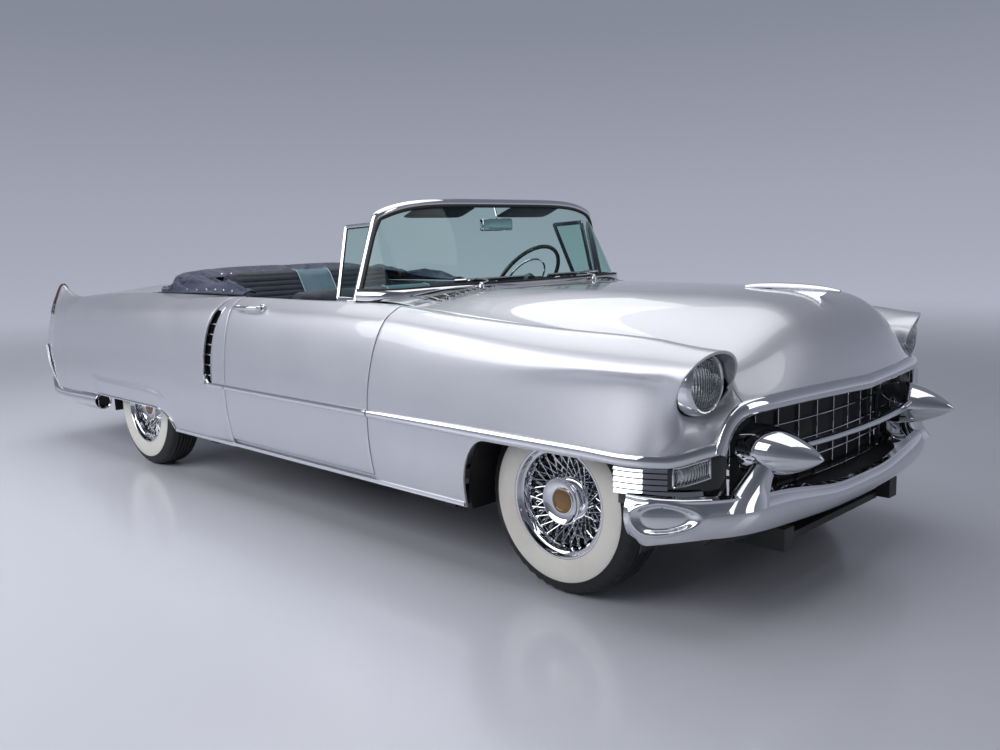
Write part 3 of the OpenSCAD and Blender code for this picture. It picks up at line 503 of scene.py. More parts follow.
# Columns: x, inset and drop of the inner edge, crown, shoulder, bulge and crease, inset at the moulding
FRONT_SIDE = [
    (REAR_AXLE + 900, 163, 0, 128, 8, 72, 60, 41, 155, 21, 300, 14),
    (FRONT_AXLE - 1650, 163, 0, 128, 9, 71, 60, 39, 154, 19, 300, 12),
    (FRONT_AXLE - 890, 163, 0, 130, 11, 73, 60, 42, 152, 22, 298, 13),
    (FRONT_AXLE - 500, 223, 38, 152, 34, 84, 76, 47, 162, 27, 290, 15),
    (FRONT_AXLE - 50, 278, 82, 180, 56, 99, 98, 56, 172, 44, 262, 19),
    (FRONT_AXLE + 345, 298, 115, 200, 68, 118, 104, 72, 172, 82, 226, 29),
    (FRONT_AXLE + 560, 321, 150, 208, 86, 132, 118, 95, 180, 110, 234, 40),
    (FRONT_AXLE + 640, 323, 190, 208, 95, 131, 128, 96, 190, 112, 244, 48),
]
REAR_SIDE = [
    (REAR_AXLE - 1290, 224, 74, 168, -24, 120, 62, 92, 176, 72, 315, 63),
    (REAR_AXLE - 1225, 232, 78, 165, -20, 114, 70, 82, 178, 61, 315, 52),
    (REAR_AXLE - 1150, 246, 84, 162, 17, 110, 92, 70, 186, 48, 315, 39),
    (REAR_AXLE - 1020, 246, 58, 156, 62, 98, 104, 58, 188, 37, 315, 29),
    (REAR_AXLE - 900, 243, 45, 151, 63, 82, 108, 46, 188, 27, 315, 21),
    (REAR_AXLE - 500, 233, 25, 138, 60, 66, 106, 29, 186, 11, 310, 6),
    (REAR_AXLE, 223, 10, 133, 50, 58, 96, 21, 176, 4, 305, 1),
    (REAR_AXLE + 500, 218, 5, 133, 32, 58, 80, 21, 164, 4, 300, 1),
    (REAR_AXLE + 1000, 213, 4, 133, 8, 60, 62, 25, 152, 8, 292, 4),
]
NOSE_SHARE = (0, 0, 0, 0, 0.12, 1)


def mix(a, b, t):
    return a + (b - a) * t


def ease(t):
    t = min(1.0, max(0.0, t))
    return t * t * (3 - 2 * t)


def look(table, column, x):
    """A cubic through a table's column, with slopes from the neighbouring rows."""
    last = len(table) - 1
    i = 0
    while i < last - 1 and x > table[i + 1][0]:
        i += 1

    def slope(k):
        low, high = max(0, k - 1), min(last, k + 1)
        return (table[high][column] - table[low][column]) / (table[high][0] - table[low][0])

    span = table[i + 1][0] - table[i][0]
    f = (x - table[i][0]) / span
    a, b, m, n = table[i][column], table[i + 1][column], slope(i) * span, slope(i + 1) * span
    return a + f * m + f * f * (3 * (b - a) - 2 * m - n) + f ** 3 * (2 * (a - b) + m + n)


def curve(points, t):
    """A smooth curve through a list of points, t from 0 to the last index."""
    last = len(points) - 1
    i = min(last - 1, max(0, math.floor(t)))
    f = t - i
    b, c = Vector(points[i]), Vector(points[i + 1])
    a = Vector(points[i - 1]) if i > 0 else 2 * b - c
    d = Vector(points[i + 2]) if i < last - 1 else 2 * c - b
    return b + 0.5 * f * ((c - a) + f * ((2 * a - 5 * b + 4 * c - d) + f * (3 * b - a - 3 * c + d)))


def leap(t):
    t = min(1.0, max(0.0, t))
    return math.sqrt(1 - (1 - t) ** 2)


def nose_in(x):
    t = min(0.96, max(0.0, (x - FRONT_AXLE - 345) / 310))
    return 290 * (1 - math.sqrt(1 - t * t))


def moulding_z(x):
    return MOULDING - 4 * ease((x - FRONT_AXLE - 200) / 200) + 36 * ease((x - FRONT_AXLE - 520) / 130)


ARCH_FRONT, ARCH_REAR = FRONT_AXLE - 385, REAR_AXLE + 540


def front_low(x):
    if x < FRONT_AXLE + 300:
        return mix(SILL, MOULDING - 25, leap((x - ARCH_FRONT) / 150))
    return moulding_z(x) - 20


def rear_low(x):
    arch = mix(SILL + 129, SILL, 1 - leap((ARCH_REAR - x) / 190))
    return arch - 46 * ease((REAR_AXLE - 380 - x) / 700)


def side_row(table, x):
    nose = nose_in(x) if table is FRONT_SIDE else 0
    row = []
    for k in range(6):
        y = HALF_WIDTH - look(table, 1 + 2 * k if k < 5 else 11, x) - NOSE_SHARE[k] * nose
        row.append((x, y, BELT - look(table, 2 + 2 * k, x) if k < 5 else moulding_z(x)))
    return row


def side_at(table, x, w, low):
    """A point of the left body side: w 0 at the inner edge, 1 at the moulding, 2 at the lower edge."""
    row = side_row(table, x)
    if w <= 1:
        return curve(row, 5 * w)
    z = mix(moulding_z(x), low, w - 1)
    tuck = 46 * max(0.0, (moulding_z(x) - z) / (MOULDING - SILL)) ** 2
    return Vector((x, row[5][1] - tuck, z))


def cut_front(z):
    lean = 70 * ((z - MOULDING) / 400) ** 2
    return DOOR_FRONT + (lean if z > MOULDING else -12 * (MOULDING - z) / 300)


def cut_rear(z):
    return DOOR_REAR + 14 * (z - DOOR_BOTTOM) / 700


def scoop_x(z):
    return REAR_AXLE + 950 + (85 * ((z - MOULDING) / 400) ** 3 if z > MOULDING else 0)


print("belt", BELT, "moulding", MOULDING, "mm above the ground")

# %% [markdown]
# A panel starts as a grid primitive, whose vertices are then laid on the section lines: u runs along
# the car and v across the panel. Solidify gives it the thickness of its flange, and a small bevel
# catches the light along every cut. The same maker serves for the hood, doors, fenders, deck, glass
# and bumper bars.

# %% Panel makers
def deselect():
    bpy.ops.object.select_all(action="DESELECT")


def grid_on(name, shape, along, across):
    """A grid primitive laid on shape(u, v), in millimetres; along and across are its divisions."""
    bpy.ops.mesh.primitive_grid_add(x_subdivisions=along, y_subdivisions=across, size=2)
    piece = bpy.context.active_object
    piece.name = name
    for vertex in piece.data.vertices:
        u, v = (vertex.co.x + 1) / 2, (vertex.co.y + 1) / 2
        vertex.co = shape(min(1.0, max(0.0, u)), min(1.0, max(0.0, v))) * MM
    return piece


def apply_modifier(piece, kind, **settings):
    """Adds one modifier, sets it and applies it."""
    bpy.context.view_layer.objects.active = piece
    modifier = piece.modifiers.new(kind.lower(), kind)
    for name, value in settings.items():
        setattr(modifier, name, value)
    bpy.ops.object.modifier_apply(modifier=modifier.name)


def only(piece):
    deselect()
    piece.select_set(True)
    bpy.context.view_layer.objects.active = piece


def smooth(piece, degrees=35):
    only(piece)
    bpy.ops.object.shade_smooth_by_angle(angle=math.radians(degrees))
    deselect()


def outward(piece, merge=0.00005, fill=False):
    """Merges doubles, fills open ends if asked, and points all faces outwards."""
    only(piece)
    bpy.ops.object.mode_set(mode="EDIT")
    bpy.ops.mesh.select_all(action="SELECT")
    if merge:
        bpy.ops.mesh.remove_doubles(threshold=merge)
    if fill:
        bpy.ops.mesh.fill_holes(sides=0)
    bpy.ops.mesh.normals_make_consistent(inside=False)
    bpy.ops.object.mode_set(mode="OBJECT")
    deselect()


def thicken(piece, thickness, offset=-1, merge=0.00005):
    """Gives a skin a plain thickness, inwards unless offset says otherwise."""
    apply_modifier(piece, "SOLIDIFY", thickness=thickness, offset=offset)
    outward(piece, merge)


def joined(name, pieces):
    """One object from several, without merging their vertices."""
    deselect()
    for piece in pieces:
        piece.select_set(True)
    bpy.context.view_layer.objects.active = pieces[0]
    if len(pieces) > 1:
        bpy.ops.object.join()
    whole = bpy.context.active_object
    whole.name = name
    deselect()
    return whole


made = []
DOORS = ("door_left", "door_right")


def dress(piece, material, body="body", replaces=(), angle=35):
    """Finishes a piece: shading, place, material, the body it rides on and the nodes it stands for."""
    only(piece)
    bpy.ops.object.transform_apply(location=True, rotation=True, scale=True)
    smooth(piece, angle)
    if material is not None:
        piece.data.materials.clear()
        piece.data.materials.append(material)
    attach(piece, body)
    if replaces:
        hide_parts(*replaces)
    made.append(piece)
    return piece


def mirrored(piece, name):
    """A copy with its own mesh on the other side of the car."""
    only(piece)
    bpy.ops.object.duplicate()
    copy = bpy.context.active_object
    copy.name = name
    copy.data.name = name
    for vertex in copy.data.vertices:
        vertex.co.y = -vertex.co.y
    bpy.ops.object.mode_set(mode="EDIT")
    bpy.ops.mesh.select_all(action="SELECT")
    bpy.ops.mesh.flip_normals()
    bpy.ops.object.mode_set(mode="OBJECT")
    deselect()
    return copy


def pair(piece, stem, material, bodies=("body", "body"), nodes=None, angle=35):
    """Dresses a left-hand piece and makes its right-hand twin."""
    twin = mirrored(piece, stem + "_right")
    piece.name = stem + "_left"
    for one, side, body in ((piece, "left", bodies[0]), (twin, "right", bodies[1])):
        dress(one, material, body, [n + "_" + side for n in nodes] if nodes else (), angle)
    return piece, twin

# %% [markdown]
# Hood and trunk lid are lofted across the car: each row gives the middle and the edge of the panel,
# and a bow joins them. The fender's nose needs the hood's edge, so the rows come first.

# %% Rows of the hood and the lid
# Columns: x and height at the middle, x at the edge, height at the edge (0 follows the fender)
HOOD_ROWS = [
    (HOOD_REAR, HOOD_TOP, HOOD_REAR, 0),
    (FRONT_AXLE - 450, HOOD_TOP + 4, FRONT_AXLE - 480, 0),
    (FRONT_AXLE - 50, HOOD_TOP + 5, FRONT_AXLE - 90, 0),
    (FRONT_AXLE + 350, HOOD_TOP, FRONT_AXLE + 290, 0),
    (FRONT_AXLE + 540, HOOD_TOP - 16, FRONT_AXLE + 440, 0),
    (FRONT_AXLE + 650, HOOD_TOP - 62, FRONT_AXLE + 520, 0),
    (FRONT_AXLE + 722, HOOD_TOP - 138, FRONT_AXLE + 588, 868),
    (FRONT_AXLE + 758, HOOD_TOP - 228, FRONT_AXLE + 630, 806),
    (FRONT_AXLE + 772, HOOD_TOP - 314, FRONT_AXLE + 666, 764),
]
LID_ROWS = [
    (LID_FRONT, DECK_TOP, LID_FRONT, 0),
    (REAR_AXLE - 470, DECK_TOP - 2, REAR_AXLE - 470, 0),
    (REAR_AXLE - 770, DECK_TOP - 13, REAR_AXLE - 770, 0),
    (REAR_AXLE - 1020, DECK_TOP - 46, REAR_AXLE - 1000, 0),
    (REAR_AXLE - 1200, DECK_TOP - 106, REAR_AXLE - 1140, 0),
    (REAR_AXLE - 1320, DECK_TOP - 192, REAR_AXLE - 1240, 880),
    (REAR_AXLE - 1385, DECK_TOP - 290, REAR_AXLE - 1310, 785),
    (REAR_AXLE - 1408, DECK_TOP - 400, REAR_AXLE - 1335, 672),
]


def bow(t):
    return 0.35 * t * t + 0.65 * ease((t - 0.42) / 0.58)


def loft(rows, table, u, t, gap):
    """A point of the hood or the lid: u from front row to last, t from -1 to 1 across."""
    k = u * (len(rows) - 1)
    limit = table[-1][0]
    middle = curve([(r[0], 0, r[1]) for r in rows], k)
    edge = curve([(r[2], HALF_WIDTH - look(table, 1, min(r[2], limit)) - gap,
                   r[3] or BELT - look(table, 2, r[2])) for r in rows], k)
    return Vector((mix(middle[0], edge[0], abs(t) ** 2.2), edge[1] * t,
                   mix(middle[2], edge[2], bow(abs(t)))))

# %% [markdown]
# The front fender is the longest panel: it starts at the door and opens over the wheel. Its grid
# follows the section lines as far as the nose. The nose itself is a second grid, laid round the
# headlamp's axis: each of its lines leaves the border in the direction of the panel there and arrives
# at the lamp's opening. The opening lies on a slanting plane, so that the fender overhangs the lamp
# as a brow.

# %% Front fenders
LAMP_Y, LAMP_Z, LAMP_X = HALF_WIDTH - 208, 842.0, 2545.0
LAMP_OPENING = 111.0
NOSE_X = FRONT_AXLE + 480
NOSE_RINGS, NOSE_PASSES = 18, 40
SEAM_REACH, SEAM_PASSES = 0.045, 14
PANEL_T = 0.010


def brow_x(y, z):
    return LAMP_X - 0.27 * (y - LAMP_Y) + 0.45 * (z - LAMP_Z)


def spread(start, end, steps):
    return [mix(start, end, k / steps) for k in range(steps)]


def rows_w(upper, lower):
    return spread(0, 1, upper) + spread(1, 2, lower) + [2]


def fender_point(x, w):
    z = side_at(FRONT_SIDE, FRONT_AXLE - 890, w, SILL)[2]
    fade = max(0.0, 1 - (x - DOOR_FRONT) / 300)
    x = x + (cut_front(z) - DOOR_FRONT) * fade * fade
    return side_at(FRONT_SIDE, x, w, front_low(x))


arch_round = [ARCH_FRONT + 150 * (1 - math.cos(math.pi / 2 * k / 14)) for k in range(14)]
fender_x = (spread(DOOR_FRONT, ARCH_FRONT, 26) + arch_round
            + spread(ARCH_FRONT + 150, FRONT_AXLE + 300, 20) + spread(FRONT_AXLE + 300, NOSE_X, 14)
            + [NOSE_X])
side_w = rows_w(40, 14)


def fender_skin(u, v):
    x = fender_x[round(u * (len(fender_x) - 1))]
    return fender_point(x, side_w[round(v * (len(side_w) - 1))])


def hood_edge(row):
    return loft(HOOD_ROWS, FRONT_SIDE, row / (len(HOOD_ROWS) - 1), 1, 0)


def nose_border():
    """The nose's border as (point, direction): down the section, along the moulding, up the hood."""
    border = []
    rise = (side_at(FRONT_SIDE, NOSE_X, 0.9, 0) - side_at(FRONT_SIDE, NOSE_X, 1, 0)).normalized()
    for w in spread(0, 1, 40):
        here = side_at(FRONT_SIDE, NOSE_X, w, 0)
        ahead = (here - side_at(FRONT_SIDE, NOSE_X - 24, w, 0)).normalized()
        border.append((here, mix(ahead, rise, 0.5 * ease((w - 0.6) / 0.4)).normalized()))
    for k in range(19):
        x = mix(NOSE_X, FRONT_AXLE + 632, k / 18)
        turn = mix(rise, Vector((-0.25, 0, 1)), k / 18)
        border.append((side_at(FRONT_SIDE, x, 1, 0),
                       mix(Vector((1, 0, 0)), turn, 0.5 + 0.5 * ease(k / 15)).normalized()))
    corner = [side_at(FRONT_SIDE, FRONT_AXLE + 632, 1, 0), (2588, 762, 690), (2598, 722, 740),
              hood_edge(8)]
    for k in range(1, 13):
        leave = mix(Vector((-0.25, 0, 1)), Vector((0.1, 0.75, 0.4)), ease(k / 12))
        border.append((curve(corner, k / 4), leave.normalized()))
    row = 8.0
    while hood_edge(row)[0] > NOSE_X + 8:
        row -= 0.22
        leave = mix(Vector((0.1, 0.75, 0.4)), Vector((1, 0.1, 0.1)), ease((8 - row) / 1.6))
        border.append((hood_edge(row), leave.normalized()))
    border.append(border[0])
    return border


NOSE_BORDER = nose_border()


def nose_skin(u, v):
    """u round the lamp along the border, v from the border in to the lamp's opening."""
    start, leave = NOSE_BORDER[round(u * (len(NOSE_BORDER) - 1))]
    turn = math.atan2(start[2] - LAMP_Z, start[1] - LAMP_Y)
    inward = Vector((0, -math.cos(turn), -math.sin(turn)))
    y, z = LAMP_Y - LAMP_OPENING * inward[1], LAMP_Z - LAMP_OPENING * inward[2]
    end = Vector((brow_x(y, z), y, z))
    below = ease((0.15 - math.sin(turn)) / 1.0)
    arrive = (mix(Vector((1, 0, 0)) + 0.15 * inward, 0.8 * inward - Vector((0.55, 0, 0)),
                  below)).normalized()
    reach = (end - start).length
    first, second = start + 0.4 * reach * leave, end - 0.36 * reach * arrive
    return ((1 - v) ** 3 * start + 3 * v * (1 - v) ** 2 * first + 3 * v * v * (1 - v) * second
            + v ** 3 * end)


def panel(piece, thickness=PANEL_T, bevel=0.0016):
    """Gives a skin its flange thickness, inwards, and a fine rounded edge."""
    apply_modifier(piece, "SOLIDIFY", thickness=thickness, offset=-1, use_even_offset=False)
    apply_modifier(piece, "BEVEL", width=bevel, segments=2, limit_method="ANGLE",
                   angle_limit=math.radians(50))
    return piece


skin = grid_on("fender_skin", fender_skin, len(fender_x) - 1, len(side_w) - 1)
nose = grid_on("nose_skin", nose_skin, len(NOSE_BORDER) - 1, NOSE_RINGS)
inner = nose.vertex_groups.new(name="inner")
for vertex in nose.data.vertices:
    inner.add([vertex.index], math.sin(math.pi * (vertex.index // len(NOSE_BORDER)) / NOSE_RINGS),
              "REPLACE")
outward(nose, 0.0003)
apply_modifier(nose, "SMOOTH", factor=0.5, iterations=NOSE_PASSES, vertex_group="inner")
fender = joined("front_fender", [skin, nose])
outward(fender, 0.0015)

# The seam between the two grids is eased, with the panel's open edges left where they are
uses = {}
for face in fender.data.polygons:
    for key in face.edge_keys:
        uses[key] = uses.get(key, 0) + 1
border = {index for key, count in uses.items() if count == 1 for index in key}
seam = fender.vertex_groups.new(name="seam")
for vertex in fender.data.vertices:
    near = 1 - abs(vertex.co.x - NOSE_X * MM) / SEAM_REACH
    if near > 0 and vertex.index not in border:
        seam.add([vertex.index], near, "REPLACE")
apply_modifier(fender, "SMOOTH", factor=0.5, iterations=SEAM_PASSES, vertex_group="seam")
panel(fender)
pair(fender, "fender", silver_paint, nodes=["front_fender"])
print("fender faces:", len(fender.data.polygons))

# %% [markdown]
# The doors are thick boxes: a curved outside, returned edges and a flat inside that carries the trim.
# The grid is the outside; its border is extruded to the inner plane and filled, as a folded door is.

# %% Doors
def door_skin(u, v):
    w = side_w[round(v * (len(side_w) - 1))]
    z = side_at(FRONT_SIDE, mix(DOOR_REAR, DOOR_FRONT, u), w, DOOR_BOTTOM)[2]
    x = mix(cut_rear(z) + GAP * 0.6, cut_front(z) - GAP * 0.75, u)
    return side_at(FRONT_SIDE, x, w, DOOR_BOTTOM)


door = grid_on("door", door_skin, 60, len(side_w) - 1)
only(door)
bpy.ops.object.mode_set(mode="EDIT")
bpy.ops.mesh.select_all(action="SELECT")
bpy.ops.mesh.region_to_loop()
bpy.ops.mesh.extrude_edges_move()
bpy.ops.object.mode_set(mode="OBJECT")
for vertex in door.data.vertices:
    if vertex.select:
        vertex.co.y = (DOOR_INSIDE - 1) * MM
        vertex.co.z -= 0.001
bpy.ops.object.mode_set(mode="EDIT")
bpy.ops.mesh.edge_face_add()
bpy.ops.object.mode_set(mode="OBJECT")
outward(door)
apply_modifier(door, "BEVEL", width=0.0022, segments=2, limit_method="ANGLE",
               angle_limit=math.radians(60))
pair(door, "door_shell", silver_paint, DOORS, ["door"])
print("door faces:", len(door.data.polygons))

# %% [markdown]
# The rear quarter runs from the air scoop to the fin. Ahead of the scoop a narrow painted strip
# carries the door's latch edge. The lower edge opens flat over the wheel, with a raised flare round
# the opening.

# %% Rear quarters
SCOOP_SHIFT = 20.0
SCOOP_DEEP = 58.0
TAIL_X, TAIL_END = REAR_AXLE - 1225, REAR_AXLE - 1268
LENS_LOW = 876.0


def scoop_front(z):
    return scoop_x(z) + SCOOP_SHIFT


def flare(x, z):
    """How far the wheel opening's flare stands out, by the distance from the opening's edge."""
    edge = SILL + 129 + 12 * ease((REAR_AXLE - 380 - x) / 60)
    front = ease((ARCH_REAR + 30 - x) / 260)
    top = edge + 112 * math.sqrt(max(0.0, 1 - max(0.0, (x - REAR_AXLE - 290) / 285) ** 2))
    back = ease((x - REAR_AXLE + 540) / 250)
    return 15 * front * back * ease((top - z) / 26)


def rear_edge(z):
    """The tail's end in side view: it leans back down to the bumper's upright and forward below that."""
    return TAIL_END - 0.3 * (BELT + 22 - z) if z > 659 else TAIL_END - 124 + 0.63 * (659 - z)


def quarter_point(x, w):
    z0 = side_at(REAR_SIDE, REAR_AXLE + 900, w, SILL)[2]
    fade = max(0.0, 1 - (REAR_AXLE + 950 - x) / 420)
    front = cut_rear(z0) if w > 1 else scoop_front(z0)
    x = x + (front - REAR_AXLE - 950) * fade * fade
    point = side_at(REAR_SIDE, min(x, REAR_AXLE + 1000), w, rear_low(x))
    point[0] = x + max(0.0, rear_edge(point[2]) - TAIL_X) * ease((REAR_AXLE - 900 - x) / 325)
    if w > 0.9:
        point[1] += flare(x, point[2])
    if w > 1:
        point[1] = mix(point[1], side_at(FRONT_SIDE, x, w, rear_low(x))[1], ease((x + 440) / 220))
    return point


def tail_point(w, t):
    """The tapering end piece behind the skin: t from the skin's end to the rear edge."""
    point = quarter_point(TAIL_X, w)
    back = max(0.0, TAIL_X - rear_edge(point[2])) if point[2] < LENS_LOW else 0.0
    return point + Vector((-back * t, -0.2 * back * t - 3 * ease(t * back / 20), 0))


rear_round = [ARCH_REAR - 190 * (1 - math.cos(math.pi / 2 * k / 16)) for k in range(16, 0, -1)]
quarter_x = (spread(TAIL_X, REAR_AXLE - 1150, 14) + spread(REAR_AXLE - 1150, REAR_AXLE - 470, 26)
             + spread(REAR_AXLE - 470, ARCH_REAR - 190, 34) + rear_round
             + spread(ARCH_REAR, REAR_AXLE + 950, 20) + [REAR_AXLE + 950])
quarter_w = rows_w(44, 30)
TAIL_STEPS = 6


def quarter_skin(u, v):
    k = round(u * (len(quarter_x) - 1 + TAIL_STEPS)) - TAIL_STEPS
    w = quarter_w[round(v * (len(quarter_w) - 1))]
    return tail_point(w, -k / TAIL_STEPS) if k < 0 else quarter_point(quarter_x[k], w)


def strip_skin(u, v):
    w = min(1.0, 1.02 * v)
    z = side_at(FRONT_SIDE, DOOR_REAR, w, SILL)[2]
    start = scoop_front(z) + (SCOOP_DEEP if MOULDING - 20 < z < BELT - 66 else 1.0)
    return side_at(FRONT_SIDE, mix(start, cut_rear(z), u), w, SILL)


def fin_end(u, v):
    """Closes the tail of the rear fender: u from outside to inside, v from top to bottom."""
    outer = tail_point(mix(0.2, 2, v), 1)
    inner_y = HALF_WIDTH - mix(166, 243, ease(v / 0.3))
    return Vector((outer[0], mix(outer[1], min(outer[1], inner_y), u), outer[2]))


quarter = grid_on("quarter_skin", quarter_skin, len(quarter_x) - 1 + TAIL_STEPS, len(quarter_w) - 1)
panel(quarter)
strip = grid_on("latch_strip", strip_skin, 8, 40)
panel(strip)
cap = grid_on("fin_end", fin_end, 8, 40)
panel(cap, 0.006)
outward(cap)
quarter = joined("quarter", [quarter, strip, cap])
pair(quarter, "quarter", silver_paint, nodes=["rear_quarter"])
print("quarter faces:", len(quarter.data.polygons))

# %% [markdown]
# With the rows given, the hood, the lid and the deck behind the cabin are each one call. The hood's
# front turns down over the grille.

# %% Hood, trunk lid and deck
def hood_skin(u, v):
    return loft(HOOD_ROWS, FRONT_SIDE, u, 2 * v - 1, GAP * 0.55)


def lid_skin(u, v):
    return loft(LID_ROWS, REAR_SIDE, u, 1 - 2 * v, GAP * 0.7)


def deck_skin(u, v):
    x = mix(LID_FRONT + 8, LID_FRONT + 64, u)
    edge = HALF_WIDTH - look(REAR_SIDE, 1, x) + 2
    t = 2 * v - 1
    return Vector((x, edge * t, mix(DECK_TOP, BELT - look(REAR_SIDE, 2, x), bow(abs(t)))))


hood = panel(grid_on("hood_panel", hood_skin, 72, 72))
dress(hood, silver_paint, "hood", ["hood"])
lid = panel(grid_on("trunk_panel", lid_skin, 64, 64))
outward(lid)
dress(lid, silver_paint, "trunk", ["trunk_lid"])
deck = panel(grid_on("deck_panel", deck_skin, 6, 64))
outward(deck)
dress(deck, silver_paint, "body", ["rear_deck"])
print("hood faces:", len(hood.data.polygons), "lid faces:", len(lid.data.polygons))

# %% [markdown]
# Round pieces are turned, as on a lathe: a profile of (radius, height) points is carried round an
# axis. Long trims are drawn out, as through a die: a section is carried along a path. Both start as a
# grid primitive that is closed on itself, merged and pointed outwards.

# %% Lathe and die
def lathe(name, profile, steps, place=(0, 0, 0), axis=(0, 1, 0)):
    """Turns (radius, height) points round an axis through place, all in millimetres."""
    turn = Vector((0, 0, 1)).rotation_difference(Vector(axis)).to_matrix()
    place = Vector(place)

    def shape(u, v):
        k = v * (len(profile) - 1)
        i = min(len(profile) - 2, int(k + 1e-6))
        radius = mix(profile[i][0], profile[i + 1][0], k - i)
        height = mix(profile[i][1], profile[i + 1][1], k - i)
        angle = 2 * math.pi * u
        return place + turn @ Vector((radius * math.cos(angle), radius * math.sin(angle), height))

    piece = grid_on(name, shape, steps, len(profile) - 1)
    outward(piece)
    return piece


def draw_out(name, path, section, up=(0, 0, 1), closed=False, scale=None):
    """Carries a closed section of (side, height) points along a path; up may be a list, one a point."""
    path = [Vector(p) for p in path]
    count = len(path)
    loop = list(section) + [section[0]]

    def shape(u, v):
        k = round(u * (count if closed else count - 1)) % count
        before = path[k - 1] if k > 0 or closed else path[0]
        after = path[(k + 1) % count] if k < count - 1 or closed else path[k]
        along = (after - before).normalized()
        side = along.cross(Vector(up[k] if isinstance(up, list) else up)).normalized()
        rise = side.cross(along)
        a, b = loop[round(v * (len(loop) - 1))]
        size = scale(k / (count - 1)) if scale else 1.0
        return path[k] + size * (a * side + b * rise)

    piece = grid_on(name, shape, count if closed else count - 1, len(loop) - 1)
    outward(piece, 0.00002, fill=not closed)
    return piece


def round_section(radius, sides=10, flat=1.0):
    """A circle, or an ellipse that is flat times as high as it is wide."""
    return [(radius * math.cos(2 * math.pi * k / sides),
             flat * radius * math.sin(2 * math.pi * k / sides)) for k in range(sides)]


def rod(name, start, end, radius, sides=8):
    start, end = Vector(start), Vector(end)
    helper = (0, 0, 1) if abs((end - start).normalized()[2]) < 0.9 else (1, 0, 0)
    return draw_out(name, [start, end], round_section(radius, sides), up=helper)


def block(name, low, high, bevel=2.0):
    """A cube primitive between two corners, in millimetres, with rounded edges."""
    low, high = Vector(low) * MM, Vector(high) * MM
    bpy.ops.mesh.primitive_cube_add(size=1, location=(low + high) / 2)
    piece = bpy.context.active_object
    piece.name = name
    piece.scale = high - low
    bpy.ops.object.transform_apply(location=True, rotation=True, scale=True)
    apply_modifier(piece, "BEVEL", width=bevel * MM, segments=2, limit_method="ANGLE")
    deselect()
    return piece


def copied(piece, move=(0, 0, 0), turn=None, pivot=(0, 0, 0)):
    """A copy with its own mesh, turned about pivot and then moved, in millimetres."""
    only(piece)
    bpy.ops.object.duplicate()
    copy = bpy.context.active_object
    pivot = Vector(pivot) * MM
    change = Matrix.Translation(Vector(move) * MM)
    if turn is not None:
        change = change @ Matrix.Translation(pivot) @ turn.to_4x4() @ Matrix.Translation(-pivot)
    copy.data.transform(change)
    deselect()
    return copy

# %% [markdown]
# A bias-ply tyre has a tall round sidewall, here with the wide white band, and straight tread ribs
# with notched shoulders. The profile is turned with 192 steps, and the shoulder vertices are then
# pushed in, two steps of every four, to cut the notches.

# %% Tyres
TYRE_R, WHITE_OUT, WHITE_IN = 352.0, 298.0, 213.0
TREAD_STEPS = 192
sidewall = [(196, 70), (199, 80), (206, 88), (WHITE_IN, 93), (216, 96.5), (222, 98), (240, 102),
            (258, 104), (276, 104), (290, 102), (WHITE_OUT, 100), (301, 97.5), (316, 93), (330, 87),
            (340, 80), (345, 75), (346.5, 66), (349, 62)]
tread = [(351, 57), (351.5, 50), (351.6, 47), (344, 46), (344, 41), (351.8, 40), (352, 28), (352, 24),
         (344, 23), (344, 17), (352, 16), (352, 5), (346, 4)]
half_profile = sidewall + tread
tyre_profile = half_profile + [(r, -y) for r, y in reversed(half_profile)]


def build_tyre():
    tyre = lathe("tyre", tyre_profile, TREAD_STEPS)
    for vertex in tyre.data.vertices:
        radius = math.hypot(vertex.co.x, vertex.co.z)
        if abs(vertex.co.y) > 0.0565 and radius > 0.3385:
            step = round(math.atan2(vertex.co.z, vertex.co.x) / (2 * math.pi) * TREAD_STEPS)
            if step % 4 in (0, 1):
                vertex.co.x *= 1 - 0.0045 / radius
                vertex.co.z *= 1 - 0.0045 / radius
    tyre.data.materials.append(tyre_rubber)
    tyre.data.materials.append(whitewall)
    for face in tyre.data.polygons:
        radius = math.hypot(face.center.x, face.center.z) * 1000
        if face.center.y > 0.06 and WHITE_IN < radius < WHITE_OUT:
            face.material_index = 1
    return tyre


WHEELS = {"front_left": (FRONT_AXLE, 762.0), "front_right": (FRONT_AXLE, -762.0),
          "rear_left": (REAR_AXLE, 801.5), "rear_right": (REAR_AXLE, -801.5)}
HALF_TURN = Matrix.Rotation(math.pi, 3, "Z")


def set_on_axles(piece, stem, node, turn_deg=7.0):
    """Copies a wheel piece, made at the origin facing +Y, to the four corners of the car."""
    for corner, (x, y) in WHEELS.items():
        turn = Matrix.Rotation(math.radians(turn_deg * (1 if "front" in corner else 3)), 3, "Y")
        if y < 0:
            turn = HALF_TURN @ turn
        copy = copied(piece, (x, y, TYRE_R), turn)
        copy.name = stem + "_" + corner
        dress(copy, None, "wheel_" + corner, [node + "_" + corner] if node else ())
    only(piece)
    bpy.ops.object.delete()


tyre = build_tyre()
print("tyre faces:", len(tyre.data.polygons))
set_on_axles(tyre, "whitewall_tyre", "tyre")

# %% [markdown]
# The wire wheel is a bright stepped rim, a dark drum behind it, two rings of crossed spokes and a
# deep hub cap with a plain enamelled disc. Each spoke is a thin rod; all of it is joined, with three
# finishes.

